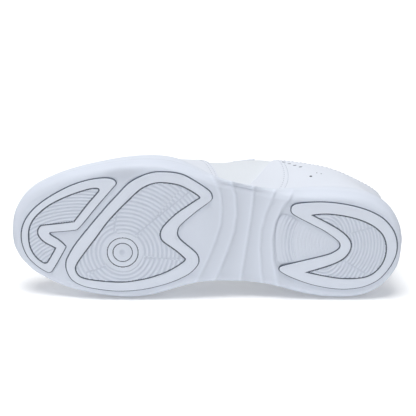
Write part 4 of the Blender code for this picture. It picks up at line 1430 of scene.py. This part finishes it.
def leather(name, colour):
    """Coated synthetic leather with a faint pebbled grain and a few soft creases."""
    look = Look(name, colour, 0.45, Specular_IOR_Level=0.45, Sheen_Weight=0.08)
    grain = look.cells(900, "SMOOTH_F1")
    look.tint(look.noise(26, 5), 0.97, 1.02)
    look.rough(look.noise(160, 5), 0.36, 0.56)
    look.bump(grain, 0.07)
    look.bump(look.noise(45, 4, stretch=(1, 2.2, 1)), 0.25)
    return look.material


def knit(name, colour, dark, pitch, height, roughness=0.9):
    """Knitted fabric whose loops follow the panel."""
    look = Look(name, colour, roughness, Sheen_Weight=0.25)
    loops = look.spread(look.weave(pitch, pitch * 0.9), From_Min=-0.5, From_Max=0.5)
    uneven = look.math("MULTIPLY", look.noise(70, 4), 0.25)
    factor = look.math("ADD", look.math("MULTIPLY", loops, 0.85), uneven, clamp=True)
    look.tint(factor, dark, 1.03)
    look.rough(look.noise(300, 3), roughness - 0.1, min(1.0, roughness + 0.08))
    look.bump(loops, height)
    look.bump(look.noise(1500, 3), 0.05)
    return look.material


def brushed(name, colour, pitch):
    """Brushed lining: a fine tricot grid under a soft nap."""
    look = Look(name, colour, 0.95, Sheen_Weight=0.4)
    nap = look.noise(1300, 6, 0.7)
    grid = look.cells(1000 / pitch, "SMOOTH_F1")
    both = look.math("ADD", look.math("MULTIPLY", nap, 0.6), look.math("MULTIPLY", grid, 0.5), clamp=True)
    look.tint(both, 0.9, 1.03)
    look.rough(look.noise(200, 4), 0.85, 1.0)
    look.bump(grid, 0.16)
    look.bump(nap, 0.1)
    return look.material


def plain(name, colour, roughness, bump):
    look = Look(name, colour, roughness)
    look.tint(look.noise(220, 5), 0.9, 1.05)
    look.rough(look.noise(500, 3), roughness - 0.08, min(1.0, roughness + 0.05))
    look.bump(look.noise(900, 5), bump)
    return look.material


def make_looks():
    return {
        # The tread rubber is a little lighter than the foam: partly its own tone, partly painted light for
        # the brighter toe and heel
        "rim": rubber("tread_rubber", (0.742, 0.787, 0.872), 0.5, 0.09),
        "ribs": rib_rubber("ribbed_rubber", (0.71, 0.755, 0.84)),
        "groove": plain("tread_groove", (0.13, 0.155, 0.20), 0.6, 0.05),
        "foam": foam("midsole_foam", (0.71, 0.755, 0.84)),
        "leather": leather("coated_leather", (0.745, 0.78, 0.85)),
        "mesh": knit("side_mesh", (0.755, 0.79, 0.83), 0.9, 1.5, 0.2),
        "lining": brushed("brushed_lining", (0.80, 0.81, 0.84), 1.1),
        "tongue": brushed("tongue_fabric", (0.82, 0.83, 0.86), 1.6),
        "insole": brushed("insole_fabric", (0.76, 0.77, 0.80), 0.9),
        # The thread's grey is partly its own colour and partly painted shade of the stitch grooves
        "thread": plain("stitch_thread", (0.58, 0.61, 0.68), 0.7, 0.1),
        # Near-black for the vents: painted shade standing in for the punched holes
        "hole": plain("punched_hole", (0.12, 0.13, 0.16), 0.9, 0.03),
        "board": plain("fibre_board", (0.5, 0.5, 0.5), 0.95, 0.2),
        "lace": knit("lace_weave", (0.84, 0.85, 0.89), 0.7, 1.1, 0.22),
    }


def dress_hidden(frame, looks):
    """The stiff layers between the upper and its lining stay as they are in the CAD."""
    for name in ("strobel_board", "toe_puff", "heel_counter"):
        node = frame["nodes"][name]
        node.data.materials.clear()
        node.data.materials.append(looks["board"])


# ---------------------------------------------------------------- stage, light and camera

# In metres: where the shoe's inner side rests, and how far the floors reach
SIDE_LEVEL = -0.0487
FLOOR_REACH = 6.0


def sheet(name, corners, material):
    mesh = bpy.data.meshes.new(name)
    mesh.from_pydata(corners, [], [(0, 1, 2, 3)])
    made = placed(name, mesh)
    mesh.materials.append(material)
    made.visible_glossy = False
    made.visible_shadow = False
    return made


def floor_material(name, glow):
    """Pale and matt from the front, and clear from behind."""
    look = Look(name, (0.93, 0.93, 0.93), 1.0, Specular_IOR_Level=0.0,
                Emission_Color=(1, 1, 1, 1), Emission_Strength=glow)
    mix = look.add("MixShader")
    look.link(look.add("NewGeometry").outputs["Backfacing"], mix.inputs["Fac"])
    look.link(look.shader.outputs["BSDF"], mix.inputs[1])
    look.link(look.add("BsdfTransparent").outputs["BSDF"], mix.inputs[2])
    look.link(mix.outputs["Shader"], look.tree.nodes["Material Output"].inputs["Surface"])
    return look.material


def stage():
    """The pale surface that the shoe lies on its side on, the floor that it would stand on, and the room."""
    far = FLOOR_REACH
    corners = [(SIDE_LEVEL, y, z) for y, z in ((-far, -far), (far, -far), (far, far), (-far, far))]
    sheet("side_floor", corners, floor_material("pale_side_floor", 0.16))
    corners = [(-far, -far, 0), (far, -far, 0), (far, far, 0), (-far, far, 0)]
    under = sheet("floor", corners, floor_material("pale_floor", 0.55))
    under.visible_diffuse = False
    world = bpy.data.worlds.new("soft_room")
    world.use_nodes = True
    background = world.node_tree.nodes["Background"]
    background.inputs["Color"].default_value = (0.95, 0.975, 1.03, 1)
    background.inputs["Strength"].default_value = 0.30
    bpy.context.scene.world = world


def lamp(name, towards, strength, spread, colour=(1, 1, 1)):
    """A soft sun shining from a direction towards the shoe."""
    data = bpy.data.lights.new(name, "SUN")
    data.energy = strength
    data.angle = math.radians(spread)
    data.color = colour
    made = placed(name, data)
    made.rotation_mode = "QUATERNION"
    made.rotation_quaternion = Vector(towards).to_track_quat("Z", "Y")
    return made


def lights():
    lamp("key", (0.97, -0.1, -0.18), 2.4, 40)
    lamp("sky", (0.3, -0.2, 0.95), 0.5, 60)


def camera():
    data = bpy.data.cameras.new("photo_camera")
    data.sensor_width = SENSOR
    data.lens = SENSOR * VIEW_DISTANCE / VIEW_WIDTH
    data.clip_end = 20
    made = placed("photo_camera", data)
    back = Vector((math.sin(VIEW_TILT), 0, -math.cos(VIEW_TILT)))
    up = Vector((math.cos(VIEW_TILT), 0, math.sin(VIEW_TILT)))
    right = up.cross(back)
    rotation = Matrix((right, up, back)).transposed()
    made.matrix_world = rotation.to_4x4()
    made.location = Vector(VIEW_CENTRE) + back * VIEW_DISTANCE
    bpy.context.scene.camera = made


def main():
    for old in list(bpy.data.objects):
        bpy.data.objects.remove(old, do_unlink=True)
    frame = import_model()
    scene = bpy.context.scene
    scene.view_settings.view_transform = "Standard"
    looks = make_looks()
    midsole(looks["foam"])
    tread(looks)
    footbed_layers(looks)
    upper(looks)
    stitching(looks)
    punching(looks)
    collar(looks)
    tongue(looks)
    lace(looks["lace"])
    dress_hidden(frame, looks)
    stage()
    lights()
    camera()


main()
